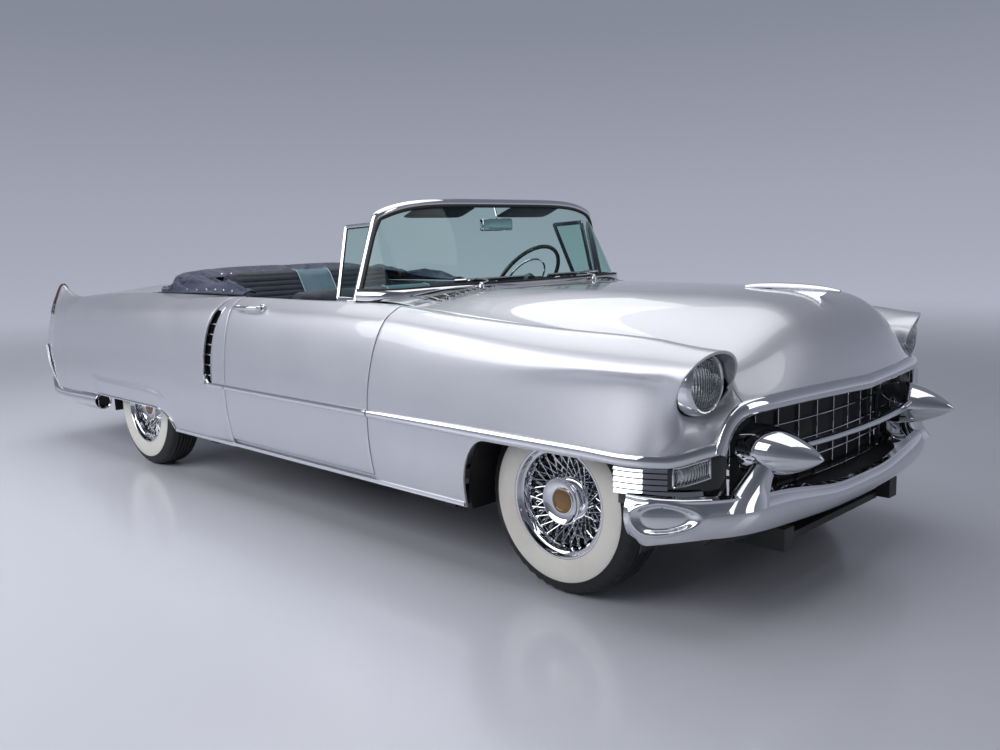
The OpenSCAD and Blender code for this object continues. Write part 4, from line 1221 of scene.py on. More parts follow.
# %% Wire wheels
def build_wheel():
    rim = lathe("rim", [(212, 84), (214, 90), (211, 95), (206, 95), (202, 90), (199, 80), (195, 76),
                        (191, 79), (187, 76), (184, 62), (181, 48), (178, 44), (174, 20), (172, -30),
                        (178, -60), (196, -78), (208, -86), (204, -90), (190, -80), (170, -60),
                        (164, -30), (166, 20), (172, 44)], 96)
    drum = lathe("drum", [(0, -8), (60, -6), (120, -10), (150, -18), (156, -40), (164, -70), (0, -72)],
                 64)
    cap = lathe("cap", [(52, -8), (66, -4), (66, 40), (68, 52), (80, 62), (88, 68), (90, 73), (88, 77),
                        (84, 78), (76, 72), (60, 66), (52, 65), (50, 68), (46, 69)], 72)
    collar = lathe("collar", [(76, -6), (82, 0), (82, 16), (76, 22), (66, 24)], 72)
    disc = lathe("disc", [(47, 67), (46, 70), (40, 72.5), (36, 73), (34, 71.5), (20, 74), (0, 75)], 48)
    wires = []
    count = 28
    for ring, (hub_y, rim_y, hub_r) in enumerate(((14, 46, 78), (-2, 30, 74))):
        for k in range(count):
            for lean in (-1, 1):
                a = 2 * math.pi * (k + 0.5 * ring) / count
                b = a + lean * math.radians(27)
                wires.append(rod("wire", (hub_r * math.cos(a), hub_y, hub_r * math.sin(a)),
                                 (177 * math.cos(b), rim_y, 177 * math.sin(b)), 2.5, 6))
    spokes = joined("spokes", wires)
    for piece, finish in ((rim, chrome), (drum, black_metal), (cap, chrome), (collar, chrome),
                          (disc, gold_enamel), (spokes, chrome)):
        piece.data.materials.append(finish)
    return joined("wheel", [rim, drum, cap, collar, disc, spokes])


wheel = build_wheel()
print("wheel faces:", len(wheel.data.polygons))
set_on_axles(wheel, "wire_wheel", "wheel")

# %% [markdown]
# A bright spear runs along the side from the nose to the air scoop. It is one section drawn out along
# the moulding line, cut where the door is cut, so that each length rides on its own panel. A second
# strip runs along the rocker.

# %% Side spear and rocker strip
SPEAR = [(-11, 0), (-10, 8), (-6, 14), (2, 16), (2, -16), (-6, -14), (-10, -8)]
ROCKER = [(-7, 0), (-6, 8), (-1, 11), (3, 11), (3, -11), (-1, -11), (-6, -8)]


def on_moulding(x, table=FRONT_SIDE):
    return side_at(table, x, 1, 0)


def stations(start, end, step=24.0):
    count = max(2, round(abs(end - start) / step))
    return [mix(start, end, k / count) for k in range(count + 1)]


scoop_foot = scoop_front(MOULDING) + SCOOP_DEEP * 0.4
front_path = [on_moulding(x) for x in stations(DOOR_FRONT + 1, FRONT_AXLE + 634, 12)]
spear_front = draw_out("spear_front", front_path, SPEAR, scale=lambda f: 1.0 + 0.35 * ease(f / 0.5))
pair(spear_front, "spear_front", chrome)
spear_door = draw_out("spear_door", [on_moulding(x) for x in stations(DOOR_REAR + GAP, DOOR_FRONT - GAP)],
                      SPEAR, scale=lambda f: mix(0.8, 1.0, f))
pair(spear_door, "spear_door", chrome, DOORS)
turn_up = [Vector((scoop_front(z) + 4, on_moulding(scoop_foot)[1] + 9 * ease((z - 600) / 60), z))
           for z in (760, 720, 680, 650)]
corner = on_moulding(scoop_foot)
rear_path = turn_up + [corner + Vector((-14, 3, 22)), corner + Vector((4, 0, 5))]
rear_path += [on_moulding(x) for x in stations(scoop_foot + 26, DOOR_REAR - 1, 20)]
spear_rear = draw_out("spear_rear", rear_path, SPEAR, scale=lambda f: 0.3 + 0.5 * ease(f / 0.55))
pair(spear_rear, "spear_rear", chrome)


def rocker_at(x):
    low = SILL + 14
    table = FRONT_SIDE if x > DOOR_REAR else REAR_SIDE
    base = side_at(table, x, 1, 0)
    tuck = 46 * ((MOULDING - low) / (MOULDING - SILL)) ** 2
    return Vector((x, base[1] - tuck + 1, low))


rocker = draw_out("rocker_strip", [rocker_at(x) for x in stations(ARCH_REAR + 6, ARCH_FRONT - 4, 40)],
                  ROCKER)
pair(rocker, "rocker_strip", chrome)
print("spear lengths: 3, rocker strip:", round(ARCH_FRONT - ARCH_REAR), "mm")

# %% [markdown]
# The air scoop is a dark slot in the front edge of the rear fender, with bright ribs across it. Its
# back wall is a grid sunk behind the skins; each rib is a small block, set one above the other.

# %% Air scoops
SCOOP_TOP, SCOOP_LOW = BELT - 66, MOULDING - 10


def side_y(table, x, z):
    """The outside of a body side at a height, found by halving between the inner edge and the moulding."""
    low, high = 0.25, 1.0
    for _ in range(22):
        middle = (low + high) / 2
        if side_at(table, x, middle, 0)[2] > z:
            low = middle
        else:
            high = middle
    return side_at(table, x, low, 0)[1]


def scoop_wall(u, v):
    z = mix(SCOOP_TOP + 14, SCOOP_LOW - 14, v)
    x = scoop_front(z) + mix(-16, SCOOP_DEEP + 14, u)
    return Vector((x, side_y(FRONT_SIDE, scoop_front(z) + SCOOP_DEEP, z) - 17, z))


wall = panel(grid_on("scoop_wall", scoop_wall, 4, 24), 0.004)
pair(wall, "scoop_wall", black_gloss)
ribs = []
for k in range(6):
    z = mix(SCOOP_LOW + 58, SCOOP_TOP - 70, k / 5)
    x, y = scoop_front(z), side_y(FRONT_SIDE, scoop_front(z) + SCOOP_DEEP, z)
    ribs.append(block("rib", (x - 2, y - 18, z - 4), (x + SCOOP_DEEP, y - 1, z + 4), 1.5))
pair(joined("scoop_ribs", ribs), "scoop_ribs", chrome)
edge_path = []
for z in stations(SCOOP_LOW + 30, SCOOP_TOP + 16, 18):
    edge_path.append(Vector((scoop_front(z) + SCOOP_DEEP,
                             side_y(FRONT_SIDE, scoop_front(z) + SCOOP_DEEP, z), z)))
trim = draw_out("scoop_edge", edge_path, round_section(3.4, 8), up=(1, 0, 0))
pair(trim, "scoop_edge", chrome)
print("scoop ribs:", len(ribs))

# %% [markdown]
# The front bumper wraps round the car as one pressed bar. Its grid runs along a plan curve and across
# a bulged section. Near each end the face is pressed in to an oval dish with a raised rim, made by
# moving the grid's points along their outward direction.

# %% Front bumper bar
FRONT_BAR = [(FRONT_AXLE + 400, HALF_WIDTH - 66, 0), (FRONT_AXLE + 478, HALF_WIDTH - 82, 0),
             (FRONT_AXLE + 585, HALF_WIDTH - 146, 0), (FRONT_AXLE + 668, HALF_WIDTH - 258, 0),
             (FRONT_AXLE + 716, HALF_WIDTH - 420, 0), (FRONT_AXLE + 736, HALF_WIDTH - 700, 0),
             (FRONT_AXLE + 742, 0, 0)]


def bar_frame(path, k):
    """Place and outward direction in plan at k along half a bar."""
    last = len(path) - 1
    point = curve(path, k)
    along = (curve(path, min(last, k + 0.02)) - curve(path, max(0, k - 0.02))).normalized()
    out = Vector((along[1], -along[0], 0))
    if out.dot(point - Vector((0.3 * point[0], 0, 0))) < 0:
        out = -out
    return point, out


def front_bar_skin(u, v):
    side = 1 if u <= 0.5 else -1
    k = (u if u <= 0.5 else 1 - u) * 2 * (len(FRONT_BAR) - 1)
    point, out = bar_frame(FRONT_BAR, k)
    end = 1 - ease(k / 2.6)
    rise = ease((abs(point[1]) - 120) / 520)
    low = mix(326 + 16 * rise, 304 + 40 * ease(1 - k / 0.9), end)
    high = mix(425 + 56 * rise, 488, end)
    a = 1 - v
    bulge = mix(36, 52, end) * math.sin(math.pi * (0.08 + 0.84 * a)) ** 0.75
    lip = 10 * ease((a - 0.86) / 0.1) - 16 * ease((a - 0.93) / 0.07)
    dish = math.hypot((k - 1.28) / 0.86, (a - 0.55) / 0.30)
    press = -20 * ease((1 - dish) / 0.28) + 5 * math.exp(-((dish - 1.08) / 0.10) ** 2)
    offset = bulge + lip + press
    return Vector((point[0] + offset * out[0], side * (point[1] + offset * out[1]), mix(low, high, a)))


bar = grid_on("front_bar", front_bar_skin, 220, 36)
thicken(bar, 0.006)
dress(bar, chrome, "body", ["front_bumper"], angle=60)
print("front bar faces:", len(bar.data.polygons))

# %% [markdown]
# Each guard is a bullet on a neck. The bullet is turned from a pointed profile, then its lower half
# is drawn in a little so that a crease runs along its side, as on the pressed original. The neck is a
# loft of ovals from the bar up to the bullet.

# %% Bumper guards
BULLET_Y, BULLET_Z, BULLET_BASE, BULLET_TIP = 572.0, 592.0, 2552.0, 2832.0
BULLET_R = 97.0


def bullet_profile(steps=30):
    points = [(0, 0), (60, 0), (78, 2), (85, 8)]
    length = BULLET_TIP - BULLET_BASE
    for k in range(steps + 1):
        s = k / steps
        swell = 0.93 + 0.07 * math.sin(math.pi * min(1, s / 0.3) / 2)
        points.append((BULLET_R * swell * (1 - s ** 2.0) ** 0.84, 14 + (length - 14) * s))
    return points


bullet = lathe("bullet", bullet_profile(), 72, (BULLET_BASE, BULLET_Y, BULLET_Z), (1, 0, 0))
for vertex in bullet.data.vertices:
    below = (BULLET_Z - 8) * MM - vertex.co.z
    if below > 0:
        vertex.co.z += 0.10 * below
        vertex.co.y = BULLET_Y * MM + (vertex.co.y - BULLET_Y * MM) * 0.955


def neck_skin(u, v):
    angle = 2 * math.pi * u
    x = mix(2640, 2652, v) + mix(46, 44, v) * math.cos(angle) - 14 * math.sin(math.pi * v)
    y = BULLET_Y + 20 + mix(66, 98, ease(v)) * math.sin(angle) + 118 * v
    x -= 0.16 * max(0.0, y - 640)
    return Vector((x, y, mix(BULLET_Z - 26, 430, v)))


neck = grid_on("neck", neck_skin, 48, 14)
outward(neck)
guard = joined("guard", [bullet, neck])
pair(guard, "bumper_guard", chrome, angle=25)
print("guard tip at", BULLET_TIP, "mm")

# %% [markdown]
# Behind the guards lies the egg-crate grille: thin bright bars on a gentle arc, with a black shell
# behind them. Every bar is a drawn-out strip; upright and level bars are joined into one piece.

# %% Grille
GRILLE_X, GRILLE_ARC, GRILLE_LOW, GRILLE_HALF = FRONT_AXLE + 640, 3400.0, 380.0, 660.0
GRILLE_CROWN, GRILLE_FALL, FALL_HALF = 748, 92, 640
ROW_PITCH, COLUMN_PITCH = 74.0, 128.0


def grille_top(y):
    return GRILLE_CROWN - GRILLE_FALL * (abs(y) / FALL_HALF) ** 3


def grille_arc(y):
    return GRILLE_X - GRILLE_ARC + math.sqrt(GRILLE_ARC ** 2 - y * y)


def strip_section(half_wide, half_high):
    return [(half_wide, half_high), (-half_wide, half_high), (-half_wide, -half_high),
            (half_wide, -half_high)]


def half_at(z):
    """Half width of the grille's opening at a height."""
    if z < GRILLE_CROWN - GRILLE_FALL:
        return GRILLE_HALF
    return FALL_HALF * min(1, max(0.02, (GRILLE_CROWN - z) / GRILLE_FALL)) ** (1 / 3)


bars = []
for k in range(5):
    z = GRILLE_LOW + 44 + k * ROW_PITCH
    half = half_at(z + 8)
    path = [Vector((grille_arc(y), y, z)) for y in stations(-half, half, 60)]
    bars.append(draw_out("level_bar", path, strip_section(11, 2.2)))
for k in range(11):
    y = (k - 5) * COLUMN_PITCH
    path = [Vector((grille_arc(y) - 3, y, z)) for z in (GRILLE_LOW, grille_top(y) - 4)]
    bars.append(draw_out("upright_bar", path, strip_section(2.2, 10), up=(1, 0, 0)))
grille = joined("grille_bars", bars)
apply_modifier(grille, "BEVEL", width=0.0012, segments=1, limit_method="ANGLE")
dress(grille, chrome, "body", ["grille"])


def shell_skin(u, v):
    y = mix(-690, 690, u)
    z = mix(330, grille_top(y) + 22, v)
    return Vector((grille_arc(y) - 62, y, z))


shell = panel(grid_on("grille_shell", shell_skin, 24, 10), 0.004)
dress(shell, black_metal, "body")
print("grille bars:", len(bars))

# %% [markdown]
# A bright eyebrow arches under the hood and sweeps down at each side into the fender's moulding. A
# stout bar crosses the grille from guard to guard.

# %% Grille surround
def mirrored_path(half):
    """A full path over the car from its left half, which ends on the middle line."""
    half = [Vector(p) for p in half]
    return half + [Vector((p[0], -p[1], p[2])) for p in reversed(half[:-1])]


def fine(points, steps=8):
    count = (len(points) - 1) * steps
    return [curve(points, k / steps) for k in range(count + 1)]


brow_half = [(2582, 786, 612), (2590, 764, 676), (2602, 726, 728), (2624, 668, 755), (2664, 520, 767),
             (2704, 260, 771), (2722, 0, 766)]
brow = draw_out("eyebrow", mirrored_path(fine(brow_half, 12)), round_section(27, 20, 0.62),
                up=(1, 0, 0.3))
dress(brow, chrome, "body", ["grille_surround"], angle=50)
bar_half = [(2676, 520, 618), (2672, 470, 600), (2676, 400, 592), (2690, 200, 590), (2696, 0, 590)]
cross_bar = draw_out("cross_bar", mirrored_path(fine(bar_half)), round_section(17, 16, 0.75))
dress(cross_bar, chrome, "body")
print("pieces so far:", len(made))

# %% [markdown]
# Below the moulding, between the wheel and the guard, sits a black panel with five bright louvre
# blades and the parking lamp in front of them.

# %% Louvres and parking lamps
LOUVRES = 5
LOUVRE_LOW = 478.0


def louvre_back(u, v):
    x = mix(FRONT_AXLE + 352, FRONT_AXLE + 636, u)
    top = on_moulding(x)
    return Vector((x, top[1] - 34, mix(top[2] - 12, LOUVRE_LOW - 40, v)))


backing = panel(grid_on("louvre_back", louvre_back, 20, 6), 0.004)
backing.data.materials.append(black_gloss)
blades = []
for k in range(LOUVRES):
    z = mix(MOULDING - 34, LOUVRE_LOW + 10, k / (LOUVRES - 1))
    last = FRONT_AXLE + (520 if k < LOUVRES - 1 else 600)
    path = [on_moulding(x) for x in stations(FRONT_AXLE + 350, last, 14)]
    blades.append(draw_out("blade", [Vector((p[0], p[1] - 17, z)) for p in path],
                           [(-9, -8), (-3, 6), (4, 8), (7, 4), (4, -6)]))
    blades[-1].data.materials.append(chrome)
pair(joined("louvre", [backing] + blades), "louvre", None, angle=45)
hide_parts("louvre_panels")


def parking_lens(u, v):
    """A cushion-shaped lens on the pocket's face."""
    x = mix(FRONT_AXLE + 532, FRONT_AXLE + 612, u)
    top = on_moulding(x)
    dome = (math.sin(math.pi * mix(0.02, 0.98, u)) * math.sin(math.pi * mix(0.02, 0.98, v))) ** 0.35
    return Vector((x + 8 * dome, top[1] - 26 + 20 * dome, mix(top[2] - 24, top[2] - 88, v)))


lens = grid_on("parking_lens", parking_lens, 20, 14)
apply_modifier(lens, "SOLIDIFY", thickness=0.003, offset=-1)
pair(lens, "parking_lens", clear_lens)


def parking_mirror(u, v):
    return parking_lens(mix(0.05, 0.95, u), mix(0.05, 0.95, v)) - Vector((4, 12, 0))


mirror_back = grid_on("parking_mirror", parking_mirror, 8, 6)
apply_modifier(mirror_back, "SOLIDIFY", thickness=0.002, offset=-1)
pair(mirror_back, "parking_mirror", satin_chrome)
frame_path = []
for u, v in ([(k / 8, 0) for k in range(8)] + [(1, k / 6) for k in range(6)]
             + [(1 - k / 8, 1) for k in range(8)] + [(0, 1 - k / 6) for k in range(6)]):
    frame_path.append(parking_lens(u, v) + Vector((1, 3, 0)))
bezel = draw_out("parking_bezel", frame_path, round_section(4.5, 8), up=(0.6, 0.8, 0), closed=True)
pair(bezel, "parking_bezel", chrome)
print("pieces so far:", len(made))

# %% [markdown]
# The headlamp looks straight ahead: a fluted lens in a bright ring, in front of a mirror bowl.
# Because the brow is cut on a slant, the ring's flank shows as a broad crescent below and outside,
# and the brow shades it above.

# %% Headlamps
LENS_X = 2538.0
LAMP_LINE = (0, LAMP_Y, LAMP_Z)
ring = lathe("lamp_ring", [(86, LENS_X + 2), (90, LENS_X + 8), (95, LENS_X + 9), (100, LENS_X + 4),
                           (104, LENS_X - 8), (109, LENS_X - 30), (106, LENS_X - 58), (100, LENS_X - 58),
                           (88, LENS_X - 10)], 72, LAMP_LINE, (1, 0, 0))
bowl = lathe("lamp_bowl", [(88, LENS_X - 4), (86, LENS_X - 14), (70, LENS_X - 52), (40, LENS_X - 78),
                           (14, LENS_X - 86), (14, LENS_X - 60), (6, LENS_X - 54), (0, LENS_X - 54)], 64,
             LAMP_LINE, (1, 0, 0))
for piece in (ring, bowl):
    piece.data.materials.append(chrome)
lamp = joined("headlamp", [ring, bowl])
pair(lamp, "headlamp", None)
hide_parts("headlamps")
glass = lathe("headlamp_lens",
              [(89, LENS_X - 2), (88, LENS_X + 3), (80, LENS_X + 9), (64, LENS_X + 15), (40, LENS_X + 20),
               (16, LENS_X + 22), (0, LENS_X + 22.5)], 72, LAMP_LINE, (1, 0, 0))
apply_modifier(glass, "SOLIDIFY", thickness=0.004, offset=-1)
pair(glass, "headlamp_lens", lamp_glass)
print("lens centre", LENS_X, LAMP_Y, LAMP_Z)

# %% [markdown]
# The windscreen bends round the front corners of the cabin. Its sheet is a grid on one formula: the
# lower edge bows far forward, the upper edge only a little. The upper corners are rounded by
# narrowing the top rows. The bright hoop follows the same edge, with a black gasket inside it.

# %% Windscreen
GLASS_HALF, GLASS_LOW, GLASS_TOP = 850.5, 1076.0, 1480.0
CORNER_START, CORNER_CUT = 0.70, 0.14


def glass_at(u, v):
    """The outside of the windscreen: u -1 to 1 across the car to the left, v 0 to 1 upwards."""
    s = math.sin(math.pi / 2 * u)
    c = max(0.0, math.cos(math.pi / 2 * u))
    low = Vector((FRONT_AXLE - 1154 + 300 * c ** 0.9, GLASS_HALF * math.copysign(abs(s) ** 0.62, s),
                  GLASS_LOW))
    high = Vector((FRONT_AXLE - 1150 + 48 * c, (GLASS_HALF - 112) * math.copysign(abs(s) ** 0.7, s),
                   GLASS_TOP - 62 * abs(s) ** 4))
    return low.lerp(high, v) + Vector((24 * math.sin(math.pi * v) * c, 0, 0))


def glass_out(u, v):
    """The outward direction of the windscreen."""
    across = glass_at(min(1, u + 0.01), v) - glass_at(max(-1, u - 0.01), v)
    rise = glass_at(u, min(1, v + 0.01)) - glass_at(u, max(0, v - 0.01))
    return across.cross(rise).normalized()


def reach(v):
    """How far across the glass goes at a height."""
    f = min(1.0, max(0.0, (v - CORNER_START) / (1 - CORNER_START)))
    return 1 - CORNER_CUT * (1 - math.sqrt(1 - f * f))


sheet = grid_on("windscreen", lambda u, v: glass_at((2 * u - 1) * reach(v), v), 72, 28)
thicken(sheet, 0.005, merge=0)
dress(sheet, tinted_glass, "body", ["windscreen_glass"], angle=60)

edge_uv = [(1.0, mix(-0.05, CORNER_START, k / 10)) for k in range(10)]
for k in range(9):
    turn = math.pi / 2 * k / 8
    edge_uv.append((1 - CORNER_CUT * (1 - math.cos(turn)), mix(CORNER_START, 1, math.sin(turn))))
edge_uv += [(mix(1 - CORNER_CUT, 0, k / 16), 1.0) for k in range(1, 17)]
edge_uv += [(-u, v) for u, v in reversed(edge_uv[:-1])]
edge_path = [glass_at(u, v) for u, v in edge_uv]
edge_out = [glass_out(u, min(1, max(0, v))) for u, v in edge_uv]
hoop = draw_out("hoop", edge_path,
                [(-7, -11), (-7, 5), (-2, 11), (6, 15), (18, 15), (27, 9), (30, 0), (27, -9), (18, -13)],
                up=edge_out)
gasket = draw_out("gasket", edge_path, [(-17, -5), (-17, 4), (-12, 8), (-5, 8), (-5, -5)], up=edge_out)


def reveal_skin(u, v):
    """The bright moulding under the glass, broad at the corners: v from its top to its lower edge."""
    across = 2 * u - 1
    side = ease((abs(across) - 0.30) / 0.42)
    base = glass_at(across, 0)
    out = glass_out(across, 0)
    out[2] = 0
    out.normalize()
    top, low = mix(38, 30, side), mix(24, -20, side)
    swell = mix(9, 15, side) * math.sin(math.pi * min(1.0, 0.12 + 0.88 * v)) ** 0.6
    lean = 0.12 * top * (1 - v)
    return base + (3 + swell + 5 * v - lean) * out + Vector((0, 0, mix(top, low, v)))


reveal = grid_on("reveal", lambda u, v: reveal_skin(1 - u, v), 96, 10)
thicken(reveal, 0.003, merge=0)
reveal_gasket = draw_out("reveal_gasket",
                         [reveal_skin(k / 72, 1) + Vector((0, 0, -1)) for k in range(73)],
                         round_section(4.5, 8))
gasket_line = draw_out("gasket_line", [reveal_skin(k / 72, 0) + Vector((0, 0, 2)) for k in range(73)],
                       round_section(4, 8))
dress(joined("windscreen_hoop", [hoop, reveal]), chrome, "body", ["windscreen_frame"], angle=40)
dress(joined("windscreen_gasket", [gasket, reveal_gasket, gasket_line]), seal_rubber, "body",
      angle=50)
print("windscreen top", round(glass_at(0, 1)[2]), "mm")

# %% [markdown]
# Between the hood and the glass lies the cowl, with a dark air intake across it. The intake's bright
# dividers are small upright plates. The wipers rest along the lower edge of the glass.

# %% Cowl, air intake and wipers
def base_x(y):
    """The lower edge of the glass at a distance from the middle of the car."""
    s = min(1.0, abs(y) / GLASS_HALF) ** (1 / 0.62)
    return FRONT_AXLE - 1154 + 300 * math.sqrt(1 - s * s) ** 0.9


HOOD_AXIS_Z = HOOD_TOP - 53
LUG_Y = 550.0


def hood_room(behind, rise, y):
    """How far the cowl is sunk so that the open hood's rear edge and its lugs swing back above it."""
    edge = (0.3 * rise + 17) * (1 - ease((behind - 0.75 * rise - 3) / 14))
    lug = 20 * math.exp(-((abs(y) - LUG_Y) / 36) ** 2) * (1 - ease((behind - 22) / 8))
    return edge + lug


def cowl_skin(u, v):
    t = 2 * v - 1
    front = hood_skin(0, v) + Vector((-GAP, 0, -1.5))
    y = 826 * t
    back = Vector((base_x(y) - 14, y, mix(1103, 1058, abs(t) ** 3)))
    point = front.lerp(back, u) + Vector((0, 0, 5 * math.sin(math.pi * u)))
    return point - Vector((0, 0,
                           hood_room(front[0] - point[0], max(0.0, front[2] - HOOD_AXIS_Z), point[1])))


cowl = grid_on("cowl_top", lambda u, v: cowl_skin(1 - u, 1 - v), 20, 120)
panel(cowl, 0.003, 0.001)
dress(cowl, silver_paint, "body")


def intake_skin(u, v):
    return cowl_skin(mix(0.12, 0.58, u), mix(0.07, 0.93, v)) + Vector((0, 0, 1.5))


intake = grid_on("intake", lambda u, v: intake_skin(1 - u, 1 - v), 12, 120)
panel(intake, 0.002, 0.0006)
dress(intake, black_gloss, "body")
dividers = []
for k in range(22):
    v = mix(0.02, 0.98, k / 21)
    rail = [intake_skin(u, v) for u in spread(0.04, 0.96, 8)]
    dividers.append(draw_out("divider", rail, [(1.1, 0), (1.1, 3.5), (-1.1, 3.5), (-1.1, 0)]))
rims = [draw_out("intake_rim", [intake_skin(u, k / 40) for k in range(41)], round_section(2.2, 6))
        for u in (0, 1)]
dress(joined("intake_dividers", dividers + rims), chrome, "body")

WIPER_Y = 400.0
for side, name in ((1, "left"), (-1, "right")):
    pivot = Vector((base_x(WIPER_Y) + 30, side * WIPER_Y, 1100))
    rest = [glass_at(side * f, 0.13) + 9 * glass_out(side * f, 0.13) for f in spread(0.30, 0.0, 18)]
    arm_path = [pivot + Vector((0, 0, 20)), pivot + Vector((-4, -side * 40, 30)),
                rest[6] + Vector((10, 0, 9)), rest[9]]
    arm = draw_out("wiper_arm", fine(arm_path, 5), strip_section(6, 2.4))
    spine = draw_out("wiper_spine", rest, [(3, 3), (0, 8), (-3, 3), (-2, -2), (2, -2)])
    cap = lathe("wiper_cap", [(0, 0), (17, 0), (17, 10), (13, 20), (11, 26), (6, 31), (0, 32)], 20,
                pivot + Vector((0, 0, -8)), (0, 0, 1))
    dress(joined("wiper_" + name, [arm, spine, cap]), chrome, "body")
    rubber = draw_out("wiper_rubber_" + name, [p + Vector((-4, 0, -5)) for p in rest],
                      strip_section(2, 4))
    dress(rubber, seal_rubber, "body")
print("pieces so far:", len(made))

# %% [markdown]
# A mirror hangs from the header on a bright stalk, and two sun visors are folded up beside it. The
# vent windows stand on the doors and turn with them.

# %% Mirror, visors and vent windows
mirror_shell = block("mirror_shell", (800, -108, 1352), (826, 108, 1412), 10)
stalk = draw_out("mirror_stalk",
                 fine([(800, 0, 1480), (808, 0, 1450), (816, 0, 1422), (814, 0, 1395)], 4),
                 round_section(5, 8))
dress(joined("mirror", [mirror_shell, stalk]), chrome, "body")
mirror_face = block("mirror_face", (797, -100, 1358), (801, 100, 1406), 1.5)
dress(mirror_face, dark_chrome, "body")


def visor_skin(u, v):
    """A closed pad: u round its edge, v along the car's width."""
    angle = 2 * math.pi * u
    end = (1 - abs(2 * v - 1) ** 8) ** 0.5
    along, thick = 66 * math.cos(angle) * (0.7 + 0.3 * end), 10 * math.sin(angle) * end
    return Vector((742 + 0.93 * along + 0.36 * thick, mix(120, 500, v),
                   1446 + 0.36 * along - 0.93 * thick))


visor = grid_on("visor", visor_skin, 28, 22)
outward(visor)
pair(visor, "sun_visor", navy_leather)

VENT = [(FRONT_AXLE - 1182, 0), (FRONT_AXLE - 1176, 368), (FRONT_AXLE - 1398, 358),
        (FRONT_AXLE - 1330, 0)]
VENT_TILT = math.radians(19)


def vent_at(x, h, depth):
    """A point of the tilted vent window plane; depth is measured inwards."""
    height = h + 6
    return Vector((x, DOOR_INSIDE - 2 - math.sin(VENT_TILT) * height - math.cos(VENT_TILT) * depth,
                   BELT + math.cos(VENT_TILT) * height - math.sin(VENT_TILT) * depth))


def rounded(corners, radius, steps=5):
    """A closed path with rounded corners, in two dimensions."""
    points = []
    for k, corner in enumerate(corners):
        here = Vector(corner)
        back = (Vector(corners[k - 1]) - here).normalized()
        on = (Vector(corners[(k + 1) % len(corners)]) - here).normalized()
        for j in range(steps + 1):
            f = j / steps
            points.append((1 - f) ** 2 * (here + radius * back) + 2 * f * (1 - f) * here
                          + f * f * (here + radius * on))
    return points


inset = [(VENT[0][0] - 8, 8), (VENT[1][0] - 8, 360), (VENT[2][0] + 9, 351), (VENT[3][0] + 7, 8)]
vent_path = rounded(inset, 10)
level = [vent_at(p[0], p[1], 6) for p in vent_path]
lean = Vector((0, math.cos(VENT_TILT), math.sin(VENT_TILT)))
vent_rail = draw_out("vent_rail", level, [(9, -6), (9, 5), (5, 8), (-5, 8), (-8, 4), (-8, -6)], up=lean,
                     closed=True)
foot = block("vent_foot", (VENT[3][0], DOOR_INSIDE - 16, BELT - 40),
             (VENT[0][0], DOOR_INSIDE - 3, BELT + 8), 2)
pair(joined("vent_frame", [vent_rail, foot]), "vent_rail", chrome, DOORS, ["vent_frame"],
     angle=40)
seal = draw_out("vent_seal", [vent_at(p[0], p[1], 6) for p in rounded(
    [(inset[0][0] - 11, 19), (inset[1][0] - 11, 349), (inset[2][0] + 11, 341), (inset[3][0] + 10, 19)], 8)],
    round_section(4.5, 6), up=lean, closed=True)
pair(seal, "vent_seal", seal_rubber, DOORS)


def vent_skin(u, v):
    bottom = mix(inset[3][0] + 4, inset[0][0] - 4, u)
    top = mix(inset[2][0] + 4, inset[1][0] - 4, u)
    return vent_at(mix(bottom, top, v), mix(12, mix(348, 356, u), v), 3.5)


vent_sheet = grid_on("vent_sheet", vent_skin, 6, 8)
thicken(vent_sheet, 0.005, offset=0, merge=0)
pair(vent_sheet, "vent_pane", tinted_glass, DOORS, ["vent_glass"])
print("vent top", [round(c) for c in vent_at(VENT[2][0], 358, 0)])

# %% [markdown]
# The benches are leather pads with sewn pleats. Each pad starts as a closed tube: a capsule in side
# view, carried across the car with rounded ends. The seams are pinned and Blender's cloth is blown up
# against them for a few frames, so that every pleat swells by itself and the leather puckers at the
# stitching. How far a point may move is capped.

# %% Padding by cloth
def swell(piece, pinned, pressure, cap_mm, extra=0.0, frames=14):
    """Inflates a pad between its pinned points with cloth, caps each move and keeps the result."""
    group = piece.vertex_groups.new(name="seams")
    group.add(pinned, 1.0, "REPLACE")
    start = [vertex.co.copy() for vertex in piece.data.vertices]
    cloth = piece.modifiers.new("padding", "CLOTH")
    cloth.settings.quality = 4
    cloth.settings.mass = 0.4
    cloth.settings.tension_stiffness = 12
    cloth.settings.compression_stiffness = 12
    cloth.settings.shear_stiffness = 6
    cloth.settings.bending_stiffness = 0.4
    cloth.settings.shrink_min = -extra
    cloth.settings.use_pressure = True
    cloth.settings.uniform_pressure_force = pressure
    cloth.settings.vertex_group_mass = "seams"
    cloth.settings.effector_weights.gravity = 0
    cloth.collision_settings.use_collision = False
    cloth.point_cache.frame_start = 1
    cloth.point_cache.frame_end = frames
    for number in range(1, frames + 1):
        bpy.context.scene.frame_set(number)
    shown = piece.evaluated_get(bpy.context.evaluated_depsgraph_get())
    moved = [vertex.co.copy() for vertex in shown.data.vertices]
    piece.modifiers.remove(cloth)
    piece.vertex_groups.clear()
    bpy.context.scene.frame_set(1)
    for vertex, old, new in zip(piece.data.vertices, start, moved):
        step = new - old
        if step.length > cap_mm * MM:
            step *= cap_mm * MM / step.length
        vertex.co = old + step

# %% [markdown]
# A capsule is two circles and the straight sides between them. Its points carry the length along the
# front side, which says where the pleats' seams lie.

# %% Bench seats
PLEAT = 34.0


